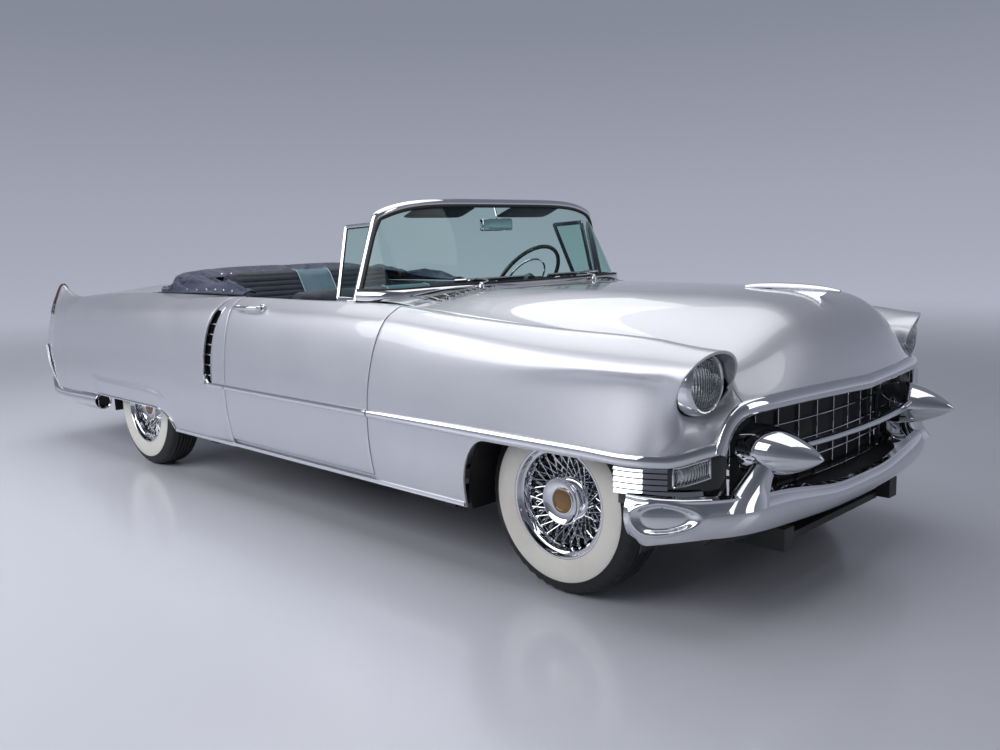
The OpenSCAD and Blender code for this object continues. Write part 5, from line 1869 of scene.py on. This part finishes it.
def capsule(first, first_r, last, last_r, shrink):
    """Points (x, z, seam length or None) round a capsule, from the front side of the first circle."""
    a, b = Vector(first), Vector(last)
    along = (b - a).normalized()
    front = Vector((along[1], -along[0]))
    length = (b - a).length
    steps = round(length / (PLEAT / 6))
    points = []
    for k in range(steps + 1):
        f = k / steps
        radius = max(3.0, mix(first_r, last_r, f) - shrink)
        points.append((*(a.lerp(b, f) + radius * front), f * length))
    for k in range(1, 15):
        turn = math.pi * k / 15
        radius = max(3.0, last_r - shrink)
        points.append((*(b + radius * (math.cos(turn) * front + math.sin(turn) * along)),
                       length + last_r * turn if k < 9 else None))
    for k in range(13):
        f = 1 - k / 12
        points.append((*(a.lerp(b, f) - max(3.0, mix(first_r, last_r, f) - shrink) * front), None))
    for k in range(1, 12):
        turn = math.pi * k / 12
        radius = max(3.0, first_r - shrink)
        points.append((*(a + radius * (-math.cos(turn) * front - math.sin(turn) * along)), None))
    return points


def build_pad(name, first, first_r, last, last_r, half, stripe, round_r=38.0):
    """One pad of a bench, with pleats outside the stripe and a plain panel of another colour inside it."""
    rows = [half - round_r * (1 - math.sin(math.pi / 2 * k / 5)) for k in range(6)]
    inner = stations(0, half - round_r, 22)[:-1]
    inner = sorted(inner + [stripe - 5, stripe, stripe + 5])
    across = [-y for y in reversed(rows)] + [-y for y in reversed(inner)] + inner[1:] + rows
    across = sorted(set(round(y, 3) for y in across))
    loops = []
    for y in across:
        edge = max(0.0, abs(y) - (half - round_r)) / round_r
        shrink = round_r * (1 - math.sqrt(max(0.0, 1 - edge * edge)))
        loops.append([(p[0], y, p[1], p[2]) for p in capsule(first, first_r, last, last_r, shrink)])
    around = len(loops[0])
    seams = []

    def shape(u, v):
        x, y, z, _ = loops[round(v * (len(across) - 1))][round(u * around) % around]
        return Vector((x, y, z))

    pad = grid_on(name, shape, around, len(across) - 1)
    outward(pad, 0.0001, fill=True)
    place = {}
    for loop in loops:
        for x, y, z, length in loop:
            place[(round(x, 1), round(y, 1), round(z, 1))] = length
    normals = [vertex.normal.copy() for vertex in pad.data.vertices]
    for vertex in pad.data.vertices:
        x, y, z = (c / MM for c in vertex.co)
        length = place.get((round(x, 1), round(y, 1), round(z, 1)))
        if length is None:
            seams.append(vertex.index)
            continue
        pleated = stripe + 2 < abs(y) < half - round_r * 0.8
        on_seam = abs((length / PLEAT + 0.5) % 1 - 0.5) * PLEAT < 1.5
        border = abs(abs(y) - stripe) < 1
        if (pleated and on_seam) or border:
            seams.append(vertex.index)
            vertex.co -= 0.0035 * normals[vertex.index]
        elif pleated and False:
            vertex.co += 0.004 * abs(math.sin(math.pi * length / PLEAT)) * normals[vertex.index]
    swell(pad, seams, pressure=1.6, cap_mm=6)
    pad.data.materials.append(navy_leather)
    pad.data.materials.append(blue_leather)
    for face in pad.data.polygons:
        middle = face.center / MM
        if abs(middle[1]) < stripe and face.normal.dot(Vector((last[1] - first[1], 0,
                                                              first[0] - last[0])).normalized()) > -0.4:
            face.material_index = 1
    return pad


def stripe_piping(name, first, first_r, last, last_r, stripe):
    """Two cords of piping over the front of a pad, beside its plain panel."""
    cords = []
    for side in (-1, 1):
        path = [Vector((p[0], side * stripe, p[1])) for p in capsule(first, first_r, last, last_r, -1.0)
                if p[2] is not None]
        cords.append(draw_out(name, path[::3] + [path[-1]], round_section(3.6, 8), up=(0, 1, 0)))
    return joined(name, cords)


FRONT_CUSHION = ((190, 488), 60, (674, 518), 60)
FRONT_BACK = ((174, 558), 68, (84.5, 1018), 55)
REAR_CUSHION = ((-502, 500), 60, (-122, 530), 60)
REAR_BACK = ((-522.5, 570), 68, (-832.5, 1098), 55)
for stem, cushion, back, half, stripe in (("front_seat", FRONT_CUSHION, FRONT_BACK, 720.0, 150.0),
                                          ("rear_seat", REAR_CUSHION, REAR_BACK, 585.0, 116.0)):
    seat_pad = build_pad(stem + "_cushion", (cushion[2][0], cushion[2][1]), cushion[3], cushion[0],
                         cushion[1], half, stripe)
    back_pad = build_pad(stem + "_back", *back, half, stripe)
    dress(seat_pad, None, "body", angle=60)
    dress(back_pad, None, "body", [stem], angle=60)
    pipes = joined(stem + "_piping",
                   [stripe_piping("pipe", (cushion[2][0], cushion[2][1]), cushion[3], cushion[0],
                                  cushion[1], stripe), stripe_piping("pipe", *back, stripe)])
    dress(pipes, pale_piping, "body")
    print(stem, "faces:", len(seat_pad.data.polygons) + len(back_pad.data.polygons))
base_rails = [block("seat_base", (224, s * 420 - 40, 318), (684, s * 420 + 40, 452), 6) for s in (-1, 1)]
base_rails.append(block("seat_base", (-552, -560, 318), (-132, 560, 460), 10))
dress(joined("seat_bases", base_rails), black_metal, "body")

# %% [markdown]
# The dash is a long pressing with a rounded top and a bright strip. In front of the driver it carries
# a pale dial with plain marks in a bright ring.

# %% Dash
DASH_HALF = 735.0
DASH_LINE = [(1104, 1064), (1010, 1072), (935, 1070), (900, 1060), (886, 1040), (885, 1008), (893, 990),
             (905, 982), (905, 934), (895, 922), (889, 905), (890, 884), (903, 868), (940, 862),
             (1090, 862)]


def dash_skin(u, v):
    y = mix(-DASH_HALF, DASH_HALF, u)
    point = curve([(p[0], y, p[1]) for p in DASH_LINE], v * (len(DASH_LINE) - 1))
    point[0] += 26 * (abs(y) / DASH_HALF) ** 4 * ease((1000 - point[0]) / 100)
    return point


dash = grid_on("dash", lambda u, v: dash_skin(1 - u, v), 48, 70)
thicken(dash, 0.003, merge=0)
dress(dash, dash_paint, "body", ["dashboard"], angle=50)
strips = [draw_out("dash_strip", [dash_skin(k / 40, v) + Vector((-1, 0, 0)) for k in range(41)],
                   round_section(4, 8)) for v in (0.485, 0.585)]
strips += [block("glove_handle", (880, -470, 950), (905, -430, 962), 4)]
for k in range(12):
    strips.append(block("radio_rib", (893, -96 + 16 * k, 938), (906, -88 + 16 * k, 978), 2))
for y in (-120, 116, 196, 236, 520, 560):
    strips.append(lathe("knob", [(0, 22), (9, 21), (12, 16), (12, 6), (8, 0)], 18, (906, y, 958),
                        (-1, 0, 0)))
dress(joined("dash_trim", strips), chrome, "body")
DIAL, DIAL_AXIS = Vector((893, 380, 1000)), Vector((-1, 0, 0.25))
dial_ring = lathe("dial_ring", [(112, 2), (118, 9), (124, 10), (128, 4), (128, -14), (112, -14)], 56,
                  DIAL, DIAL_AXIS)
dress(dial_ring, chrome, "body", angle=40)
dial_face = lathe("dial_face", [(114, 0), (60, -1), (0, -1)], 56, DIAL, DIAL_AXIS)
dress(dial_face, silver_gauge, "body")
dial_turn = Vector((0, 0, 1)).rotation_difference(DIAL_AXIS).to_matrix()
marks = []
for k in range(25):
    angle = math.radians(-15 + 210 * k / 24)
    reach_in = 84 if k % 4 == 0 else 96
    ends = [DIAL + dial_turn @ Vector((r * math.cos(angle), r * math.sin(angle), 1.2))
            for r in (reach_in, 106)]
    marks.append(rod("mark", ends[0], ends[1], 1.3, 5))
hand = [DIAL + dial_turn @ Vector((r * math.cos(2.6), r * math.sin(2.6), 3)) for r in (-14, 92)]
marks.append(rod("hand", hand[0], hand[1], 1.8, 6))
dress(joined("dial_marks", marks), black_gloss, "body")
print("pieces so far:", len(made))

# %% [markdown]
# The steering wheel is turned about its own slanting shaft: a black rim with finger notches, two
# spokes, and a bright horn ring on the driver's side. It rides on its own joint.

# %% Steering wheel
WHEEL_CENTRE, WHEEL_R = Vector((660.5, 380.0, 1088.0)), 216.0
WHEEL_AXIS = Vector((-math.cos(math.radians(35)), 0, math.sin(math.radians(35))))
to_axis = Vector((0, 0, 1)).rotation_difference(WHEEL_AXIS).to_matrix()


def on_wheel(radius, degrees, height):
    angle = math.radians(degrees)
    return WHEEL_CENTRE + to_axis @ Vector((radius * math.cos(angle), radius * math.sin(angle), height))


def rim_skin(u, v):
    ring, tube = 2 * math.pi * u, 2 * math.pi * v
    notch = 1 - 0.13 * max(0.0, math.sin(72 * ring)) * max(0.0, -math.cos(tube) * 0.8 + 0.2)
    return on_wheel(WHEEL_R + 11 * notch * math.cos(tube), math.degrees(ring),
                    11 * notch * math.sin(tube))


rim = grid_on("rim", rim_skin, 288, 14)
outward(rim)
parts = [rim]
parts.append(lathe("hub", [(0, 16), (24, 15), (38, 10), (43, 0), (43, -22), (30, -30), (0, -30)], 32,
                   WHEEL_CENTRE, WHEEL_AXIS))
for degrees in (90, 270):
    spoke = [on_wheel(r, degrees, -6 + 5 * ease((r - 60) / 120)) for r in (30, 80, 140, 190, 212)]
    parts.append(draw_out("spoke", spoke, [(15, 0), (10, 5), (-10, 5), (-15, 0), (-10, -5), (10, -5)],
                          up=WHEEL_AXIS))
dress(joined("steering_rim", parts), black_gloss, "steering_wheel", ["steering_wheel"],
      angle=40)
horn = draw_out("horn_ring",
                [on_wheel(136 - 10 * math.cos(2 * math.pi * k / 48), 360 * k / 48, 14)
                 for k in range(48)], round_section(5, 8), up=WHEEL_AXIS, closed=True)
horn_arms = [draw_out("horn_arm", [on_wheel(r, d, 13) for r in (30, 90, 130)], strip_section(8, 2.5),
                      up=WHEEL_AXIS) for d in (90, 270)]
boss = lathe("horn_boss", [(0, 25), (16, 24), (27, 19), (31, 12), (31, 8)], 32, WHEEL_CENTRE, WHEEL_AXIS)
dress(joined("horn_ring", [horn, boss] + horn_arms), chrome, "steering_wheel", angle=40)
print("pieces so far:", len(made))

# %% [markdown]
# Door and quarter trims are stitched pads on the inner faces, with an arm rest and small bright
# handles. Carpet covers the floor and the hump.

# %% Trims and carpet
def trim_skin(x0, x1, z0, z1, face, pleated):
    """A quilted panel facing the cabin, from x0 to x1 and from z1 down to z0."""
    def shape(u, v):
        x, z = mix(x0, x1, u), mix(z1, z0, v)
        edge = min(u * (x1 - x0), (1 - u) * (x1 - x0), v * (z1 - z0), (1 - v) * (z1 - z0))
        puff = 9 * ease(edge / 26)
        if pleated and 0.12 < v < 0.56:
            ripple = 5 * abs(math.sin(math.pi * x / 42)) ** 0.6
            puff += ripple * ease((v - 0.12) / 0.03) * ease((0.56 - v) / 0.03)
        return Vector((x, face - puff, z))
    return shape


door_trim = grid_on("door_trim", trim_skin(DOOR_REAR + 28, 884, 352, 1034, DOOR_INSIDE - 1, True), 150,
                    60)
pair(door_trim, "door_trim", None, DOORS, angle=50)
for piece in made[-2:]:
    piece.data.materials.append(blue_leather)
    piece.data.materials.append(navy_leather)
    for face in piece.data.polygons:
        if 690 < face.center.z / MM < 952:
            face.material_index = 1
arm_rest = block("arm_rest", (130, DOOR_INSIDE - 66, 700), (560, DOOR_INSIDE - 2, 742), 18)
pair(arm_rest, "arm_rest", blue_leather, DOORS)
door_bits = [draw_out("trim_strip", [(DOOR_REAR + 34, DOOR_INSIDE - 12, z), (876, DOOR_INSIDE - 12, z)],
                      round_section(4, 8)) for z in (660, 968)]
door_bits.append(rod("door_crank", (300, DOOR_INSIDE - 14, 860), (300, DOOR_INSIDE - 36, 860), 9, 12))
door_bits.append(rod("crank_arm", (300, DOOR_INSIDE - 34, 860), (220, DOOR_INSIDE - 34, 830), 5, 10))
door_bits.append(rod("crank_knob", (222, DOOR_INSIDE - 30, 831), (222, DOOR_INSIDE - 58, 831), 9, 12))
door_bits.append(rod("door_pull", (640, DOOR_INSIDE - 16, 820), (720, DOOR_INSIDE - 30, 812), 6, 10))
pair(joined("door_bits", door_bits), "door_bright", chrome, DOORS)

rear_trim = grid_on("rear_trim", trim_skin(REAR_AXLE + 690, DOOR_REAR - 22, 322, 988, 716, True), 64, 50)
apply_modifier(rear_trim, "SOLIDIFY", thickness=0.012, offset=-1)
post = block("lock_post", (DOOR_REAR - 32, 722, 322), (DOOR_REAR - 20, HALF_WIDTH - 76, 918), 3)
pair(joined("rear_trim", [rear_trim, post]), "rear_trim", blue_leather, angle=50)
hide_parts("side_trims")
kick_low = block("kick_low", (900, 742, 322), (1104, 820, 890), 8)
kick_high = block("kick_high", (900, 742, 880), (1104, 784, 1052), 8)
kick = joined("kick_panel", [kick_low, kick_high])
pair(kick, "kick_panel", dash_paint)


def carpet_skin(u, v):
    y = mix(815, -815, v)
    hump = 106 * ease((150 - abs(y)) / 22) * ease((mix(-100, 1130, u) + 90) / 40)
    return Vector((mix(-100, 1130, u), y, 323 + hump))


rug = grid_on("carpet_front", carpet_skin, 40, 120)
apply_modifier(rug, "SOLIDIFY", thickness=0.004, offset=-1)
dress(rug, carpet, "body")
print("interior pieces so far:", len(made))

# %% [markdown]
# The folded top lies under a cover of coated cloth, which runs round the back of the cabin. The cover
# is a grid between an inner and an outer edge. It is cut a twentieth too large each way and held
# along both edges, so the cloth solver lets it buckle into soft wrinkles.

# %% Cover over the folded top
BOOT_OUT = [(REAR_AXLE + 1060, HALF_WIDTH - 219, 8), (REAR_AXLE + 700, HALF_WIDTH - 220, 8),
            (REAR_AXLE + 260, HALF_WIDTH - 226, 2), (REAR_AXLE + 80, HALF_WIDTH - 240, -2),
            (REAR_AXLE - 40, HALF_WIDTH - 380, 4), (REAR_AXLE - 61, HALF_WIDTH - 640, 14),
            (REAR_AXLE - 64, 0, 18)]
BOOT_IN = [(REAR_AXLE + 1040, HALF_WIDTH - 300, 12), (REAR_AXLE + 760, HALF_WIDTH - 316, 34),
           (REAR_AXLE + 560, HALF_WIDTH - 345, 64), (REAR_AXLE + 430, HALF_WIDTH - 400, 78),
           (REAR_AXLE + 418, HALF_WIDTH - 520, 80), (REAR_AXLE + 416, HALF_WIDTH - 700, 80),
           (REAR_AXLE + 416, 0, 80)]
BOOT_RISE = [(5, 0, 0), (58, 0, 0), (72, 0, 0), (66, 0, 0), (56, 0, 0), (52, 0, 0), (50, 0, 0)]


def boot_at(u, v):
    """The cover: u 0 to 1 from its left front end round the back to the right, v 0 inside to 1 outside."""
    side = 1 if u <= 0.5 else -1
    k = (u if u <= 0.5 else 1 - u) * 12
    inner, outer = curve(BOOT_IN, k), curve(BOOT_OUT, k)
    point = inner.lerp(outer, v)
    rise = curve(BOOT_RISE, k)[0] * max(0.0, math.sin(math.pi * v)) ** 0.62
    sag = 10 * math.sin(math.pi * v) * math.sin(2.6 * k + 0.8) * ease((4 - k) / 1.5)
    rise *= 1 - 0.22 * math.exp(-((k - 1.55) / 0.5) ** 2)
    return Vector((point[0], side * point[1], BELT + point[2] + rise + sag))


boot_long, boot_wide = 300, 40
CUT_EXTRA = 0.05
boot = grid_on("top_cover", boot_at, boot_long, boot_wide)
held = []
for vertex in boot.data.vertices:
    i = vertex.index % (boot_long + 1)
    j = vertex.index // (boot_long + 1)
    if j in (0, boot_wide) or i in (0, boot_long):
        held.append(vertex.index)
swell(boot, held, pressure=0.35, cap_mm=26, extra=CUT_EXTRA, frames=16)
outward(boot, 0)
apply_modifier(boot, "SOLIDIFY", thickness=0.0025, offset=-1)
dress(boot, navy_vinyl, "body", ["top_boot"], angle=70)
hem = [draw_out("boot_hem", [boot_at(k / 150, v) + Vector((0, 0, -2)) for k in range(151)],
                round_section(5, 8)) for v in (0.0, 1.0)]
ends = [draw_out("boot_end", [boot_at(u, k / 12) for k in range(13)], round_section(6, 8))
        for u in (0.0, 1.0)]
hem_piece = dress(joined("cover_hem", hem + ends), navy_vinyl, "body")

snaps = []
for k in range(46):
    u = mix(0.03, 0.97, k / 45)
    place = boot_at(u, 0.965) + Vector((0, 0, 3))
    out = boot_at(u, 1.0) - boot_at(u, 0.9)
    snaps.append(lathe("snap", [(0, 5), (4, 4.4), (6.5, 2), (7, 0)], 12, place,
                       out.normalized() + Vector((0, 0, 0.8))))
for k in range(12):
    snaps.append(lathe("snap", [(0, 5), (4, 4.4), (6.5, 2), (7, 0)], 12,
                       boot_at(mix(0.30, 0.70, k / 11), 0.03) + Vector((6, 0, 4)), (0.7, 0, 0.7)))
snap_piece = dress(joined("cover_snaps", snaps), chrome, "body")

# %% [markdown]
# The rear bumper wraps round the tail. Its sides taper forward into round outlets, and its corners
# rise into upright pointed ends below the tail lamps.

# %% Rear bumper
REAR_BAR = [(REAR_AXLE - 440, HALF_WIDTH - 46, 0), (REAR_AXLE - 800, HALF_WIDTH - 50, 0),
            (REAR_AXLE - 1120, HALF_WIDTH - 70, 0), (REAR_AXLE - 1330, HALF_WIDTH - 112, 0),
            (REAR_AXLE - 1440, HALF_WIDTH - 190, 0), (REAR_AXLE - 1474, HALF_WIDTH - 420, 0),
            (REAR_AXLE - 1480, 0, 0)]


def rear_bar_skin(u, v):
    side = 1 if u <= 0.5 else -1
    k = (u if u <= 0.5 else 1 - u) * 2 * (len(REAR_BAR) - 1)
    point, out = bar_frame(REAR_BAR, k)
    along_side = 1 - ease((k - 2.4) / 1.2)
    top = mix(478, 394 - 22 * ease(k / 2), along_side)
    low = mix(352, 306, along_side)
    a = 1 - v
    bulge = 26 * math.sin(math.pi * (0.06 + 0.88 * a)) ** 0.7 + 9 * math.exp(-((a - 0.86) / 0.08) ** 2)
    return Vector((point[0] + bulge * out[0], side * (point[1] + bulge * out[1]), mix(low, top, a)))


rear_bar = grid_on("rear_bar", rear_bar_skin, 200, 26)
thicken(rear_bar, 0.006)
dress(rear_bar, chrome, "body", ["rear_bumper"], angle=60)


HORN_BACK = [(-2536, 350), (-2700, 372), (-2806, 412), (-2838, 460), (-2826, 530), (-2802, 600),
             (-2778, 640), (-2742, 662)]


def horn_skin(u, v):
    """The upright end of the bumper: u from the body's edge round the back, v from foot to top."""
    z = mix(351, 655, v)
    edge = Vector((rear_edge(z) + 8, side_at(REAR_SIDE, TAIL_X, 1, 0)[1] - 16 * ease(abs(z - 520) / 160),
                   z))
    back_xz = curve([(x, z, 0) for x, z in HORN_BACK], v * (len(HORN_BACK) - 1))
    depth = edge[0] - back_xz[0]
    back = Vector((back_xz[0], edge[1] - 40 - 0.42 * depth, mix(back_xz[1], z, 0.3)))
    side = mix(edge, back, 0.5) + Vector((0, 0.14 * depth, 0))
    inside = Vector((edge[0] - 0.35 * depth, edge[1] - 0.9 * depth - 70, z))
    return curve([edge - Vector((0, 14, 0)), edge, side, back, inside], 4 * u)


upright = grid_on("upright", horn_skin, 40, 30)
thicken(upright, 0.004)
pair(upright, "rear_upright", chrome, angle=60)
lip_path = [quarter_point(x, 2) + Vector((0, 1, 2)) for x in stations(REAR_AXLE - 420, ARCH_REAR - 2, 12)]
arch_lip = draw_out("arch_lip", lip_path, round_section(7, 10), scale=lambda f: 0.5 + 0.5 * ease(f / 0.1))
pair(arch_lip, "arch_lip", chrome)
outlet_at = Vector((REAR_AXLE - 438, HALF_WIDTH - 46, 355))
outlet = lathe("outlet", [(34, -70), (46, -46), (51, -10), (51, 2), (47, 7), (41, 4), (39, -14),
                          (39, -60)], 40, outlet_at, (1, 0.25, 0))
pair(outlet, "exhaust_outlet", chrome, angle=40)
throat = lathe("throat", [(39, -50), (20, -52), (0, -52)], 32, outlet_at, (1, 0.25, 0))
pair(throat, "outlet_throat", black_metal)
print("pieces so far:", len(made))

# %% [markdown]
# The fins end in slim red lenses with a pale reversing lens below, each in a bright rim. Between the
# fins, the tail is closed by a painted panel with a bright strip.

# %% Tail lamps and tail panel
FIN_Y = HALF_WIDTH - 166


def lens_skin(top, low):
    def shape(u, v):
        z = mix(top, low, v)
        outer = side_y(REAR_SIDE, TAIL_X, min(z, BELT + 18)) + 1
        inner = max(FIN_Y - 38, 2 * FIN_Y - outer)
        deep = TAIL_X - rear_edge(z)
        end = math.sqrt(max(0.0, 1 - max(0.0, (z - BELT - 4) / 20) ** 2))
        return Vector((TAIL_X + 3 - deep * end * math.sin(math.pi * u) ** 0.5,
                       mix(FIN_Y, mix(outer, inner, (1 - math.cos(math.pi * u)) / 2), end), z))
    return shape


for label, top, low, finish, slot in (("tail_lens", BELT + 23, 938, red_lens, "red_lens"),
                                      ("reverse_lens", 934, LENS_LOW, clear_lens, "lamp_glass")):
    lens = grid_on(label, lens_skin(top, low), 26, 28)
    thicken(lens, 0.003, merge=0)
    pair(lens, label, finish)
    if label == "tail_lens":
        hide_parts("tail_lamps")
    rim_path = [lens_skin(top, low)(k / 24, 1) + Vector((0, 0, -2)) for k in range(25)]
    pair(draw_out(label + "_rim", rim_path, round_section(2.6, 8)), label + "_rim", chrome)


def plate_skin(u, v):
    return lens_skin(BELT + 16, LENS_LOW)(mix(0.12, 0.88, u), v) + Vector((9, 0, 0))


back_plate = grid_on("lamp_plate", plate_skin, 10, 20)
apply_modifier(back_plate, "SOLIDIFY", thickness=0.003, offset=-1)
pair(back_plate, "lamp_plate", satin_chrome)


def tail_skin(u, v):
    y = mix(HALF_WIDTH - 234, -HALF_WIDTH + 234, u)
    return Vector((REAR_AXLE - 1392 + 20 * (abs(y) / 780) ** 3, y, mix(660, 470, v)))


def valance_skin(u, v):
    """The shelf between the tail panel and the bumper bar."""
    foot = tail_skin(u, 1)
    drop = curve([(6, 0, 14), (-14, 0, -8), (-44, 0, -22), (-74, 0, -26)], 3 * v)
    return Vector((foot[0] + drop[0], foot[1], foot[2] + drop[2]))


def gutter_skin(u, v):
    """The inside of the fin, down beside the trunk lid: u from the tail forward, v downwards."""
    x = mix(TAIL_X + 2, REAR_AXLE - 200, u)
    top = side_at(REAR_SIDE, x, 0, 0)
    z = mix(top[2] - 2, 600, v)
    back = rear_edge(z) + 12 - TAIL_X if z < LENS_LOW else 0
    return Vector((x + back * (1 - u) ** 6, top[1] - 1, z))


valance = panel(grid_on("rear_valance", valance_skin, 40, 9), 0.004)
dress(valance, silver_paint, "body")
gutter = grid_on("gutter", gutter_skin, 40, 20)
thicken(gutter, 0.003, offset=1, merge=0)
pair(gutter, "trunk_gutter", silver_paint)
tail = panel(grid_on("tail_panel", tail_skin, 40, 10), 0.005)
dress(tail, silver_paint, "body", ["tail_panel"])
tail_strip = draw_out("tail_strip", [tail_skin(k / 40, 0.12) + Vector((-2, 0, 0)) for k in range(41)],
                      round_section(7, 10, 1.6))
plate = block("plate", (REAR_AXLE - 1402, -152, 500), (REAR_AXLE - 1394, 152, 630), 3)
dress(tail_strip, chrome, "body")
dress(plate, satin_chrome, "body")
trunk_handle = draw_out("trunk_handle", fine([(-2575, 0, 905), (-2612, 0, 840), (-2634, 0, 760)], 6),
                        round_section(11, 12, 0.6), up=(1, 0, 0.5))
dress(trunk_handle, chrome, "trunk")
print("pieces so far:", len(made))

# %% [markdown]
# Small bright parts finish the outside: pull handles on the doors and a slim spear with a keel on the
# hood.

# %% Handles and hood spear
grip = draw_out("door_grip",
                fine([(-80, 950, 1000), (-60, 976, 1006), (0, 984, 1008), (70, 984, 1010),
                      (120, 972, 1011), (136, 950, 1010)], 6), round_section(8, 10, 1.2))
button = lathe("door_button", [(0, 14), (8, 13), (12, 9), (13, 0), (13, -10)], 20, (-76, 952, 1004),
               (0, 1, 0))
scutcheon = lathe("door_scutcheon", [(0, 5), (16, 4), (20, 0), (20, -8)], 24, (132, 942, 1010),
                  (0, 1, 0.1))
pair(joined("door_grip", [grip, button, scutcheon]), "door_handle", chrome, DOORS)


def hood_height(x):
    """Height of the hood's middle line at x."""
    low, high = 0.0, 1.0
    for _ in range(24):
        middle = (low + high) / 2
        if hood_skin(middle, 0.5)[0] < x:
            low = middle
        else:
            high = middle
    return hood_skin(low, 0.5)[2]


SPEAR_LINE = [(2212, 0, 1103), (2300, 0, 1108), (2420, 0, 1107), (2530, 0, 1101), (2604, 0, 1092)]
spear = draw_out("hood_spear", fine(SPEAR_LINE, 8), round_section(13, 16, 0.8),
                 scale=lambda f: 0.25 + 0.95 * math.sin(math.pi * min(1.0, 0.06 + 0.90 * f)) ** 0.6)


def keel_skin(u, v):
    x = mix(2330, 2560 - 40 * v, u)
    top = curve(SPEAR_LINE, 4 * (x - 2212) / 392)[2] - 4
    return Vector((x, 0, mix(top, hood_height(x) - 4, v)))


keel = grid_on("hood_keel", keel_skin, 16, 4)
thicken(keel, 0.012, offset=0)
dress(joined("hood_spear", [spear, keel]), chrome, "hood")
print("pieces so far:", len(made))

# %% [markdown]
# Behind the front bumper lies a shelf, which turns down below the bar and hides the chassis. It is black:
# painted shadow, the shade under the bumper.

# %% Apron
def apron_skin(u, v):
    """A shelf behind the bumper bar and a face below it, black as painted shadow."""
    y = mix(-700, 700, u)
    shelf = curve([(-52, 0, 412), (20, 0, 400), (54, 0, 372), (40, 0, 320), (-20, 0, 262)], 4 * v)
    return Vector((grille_arc(y) + shelf[0] - 120 * max(0.0, abs(y) / 700 - 0.8), y, shelf[2]))


shadow_apron = panel(grid_on("front_apron_shadow", apron_skin, 28, 12), 0.004)
# Black finish: painted shadow under the bumper.
dress(shadow_apron, black_metal, "body")
print("pieces so far:", len(made))

# %% [markdown]
# Dark liners stand over the wheels, so that no light shines through the arches.

# %% Liners
def liner_skin(axle, reach, past, inner, outer):
    """A drum over a wheel, open below; past is how far it runs beyond level, in degrees."""
    def shape(u, v):
        angle = mix(math.radians(-past), math.radians(180 + past), u)
        return Vector((axle + reach * math.cos(angle), mix(inner, outer, v),
                       TYRE_R + 372 * math.sin(angle)))
    return shape


for label, shape in (("front_liner", liner_skin(FRONT_AXLE, 418, 14, 545, 905)),
                     ("rear_liner", liner_skin(REAR_AXLE, 424, 10, 660, 900))):
    liner = grid_on(label, shape, 40, 4)
    apply_modifier(liner, "SOLIDIFY", thickness=0.004, offset=0)
    pair(liner, label, black_metal)
print("pieces so far:", len(made))

# %% [markdown]
# Last, the imported solids that still show get their finishes: the sills and cowl are painted, the underside
# is black or cast metal.

# %% Finishes of the imported solids and the end
NODE_FINISH = {
    "silver_paint": silver_paint, "chrome": chrome, "tinted_glass": tinted_glass, "black_metal": black_metal,
    "cast_metal": cast_metal, "lamp_glass": lamp_glass, "red_lens": red_lens, "navy_leather": navy_leather,
    "navy_vinyl": navy_vinyl, "blue_trim": blue_leather, "black_plastic": black_gloss, "tyre": tyre_rubber,
}
for entry in frame["record"]["subparts"]:
    solid = frame["nodes"][entry["node"]]
    solid.data.materials.clear()
    solid.data.materials.append(NODE_FINISH[entry["material_slot"]])

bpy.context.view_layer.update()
triangles = sum(len(p.vertices) - 2 for piece in made for p in piece.data.polygons)
print("pieces:", len(made), "triangles added:", triangles)
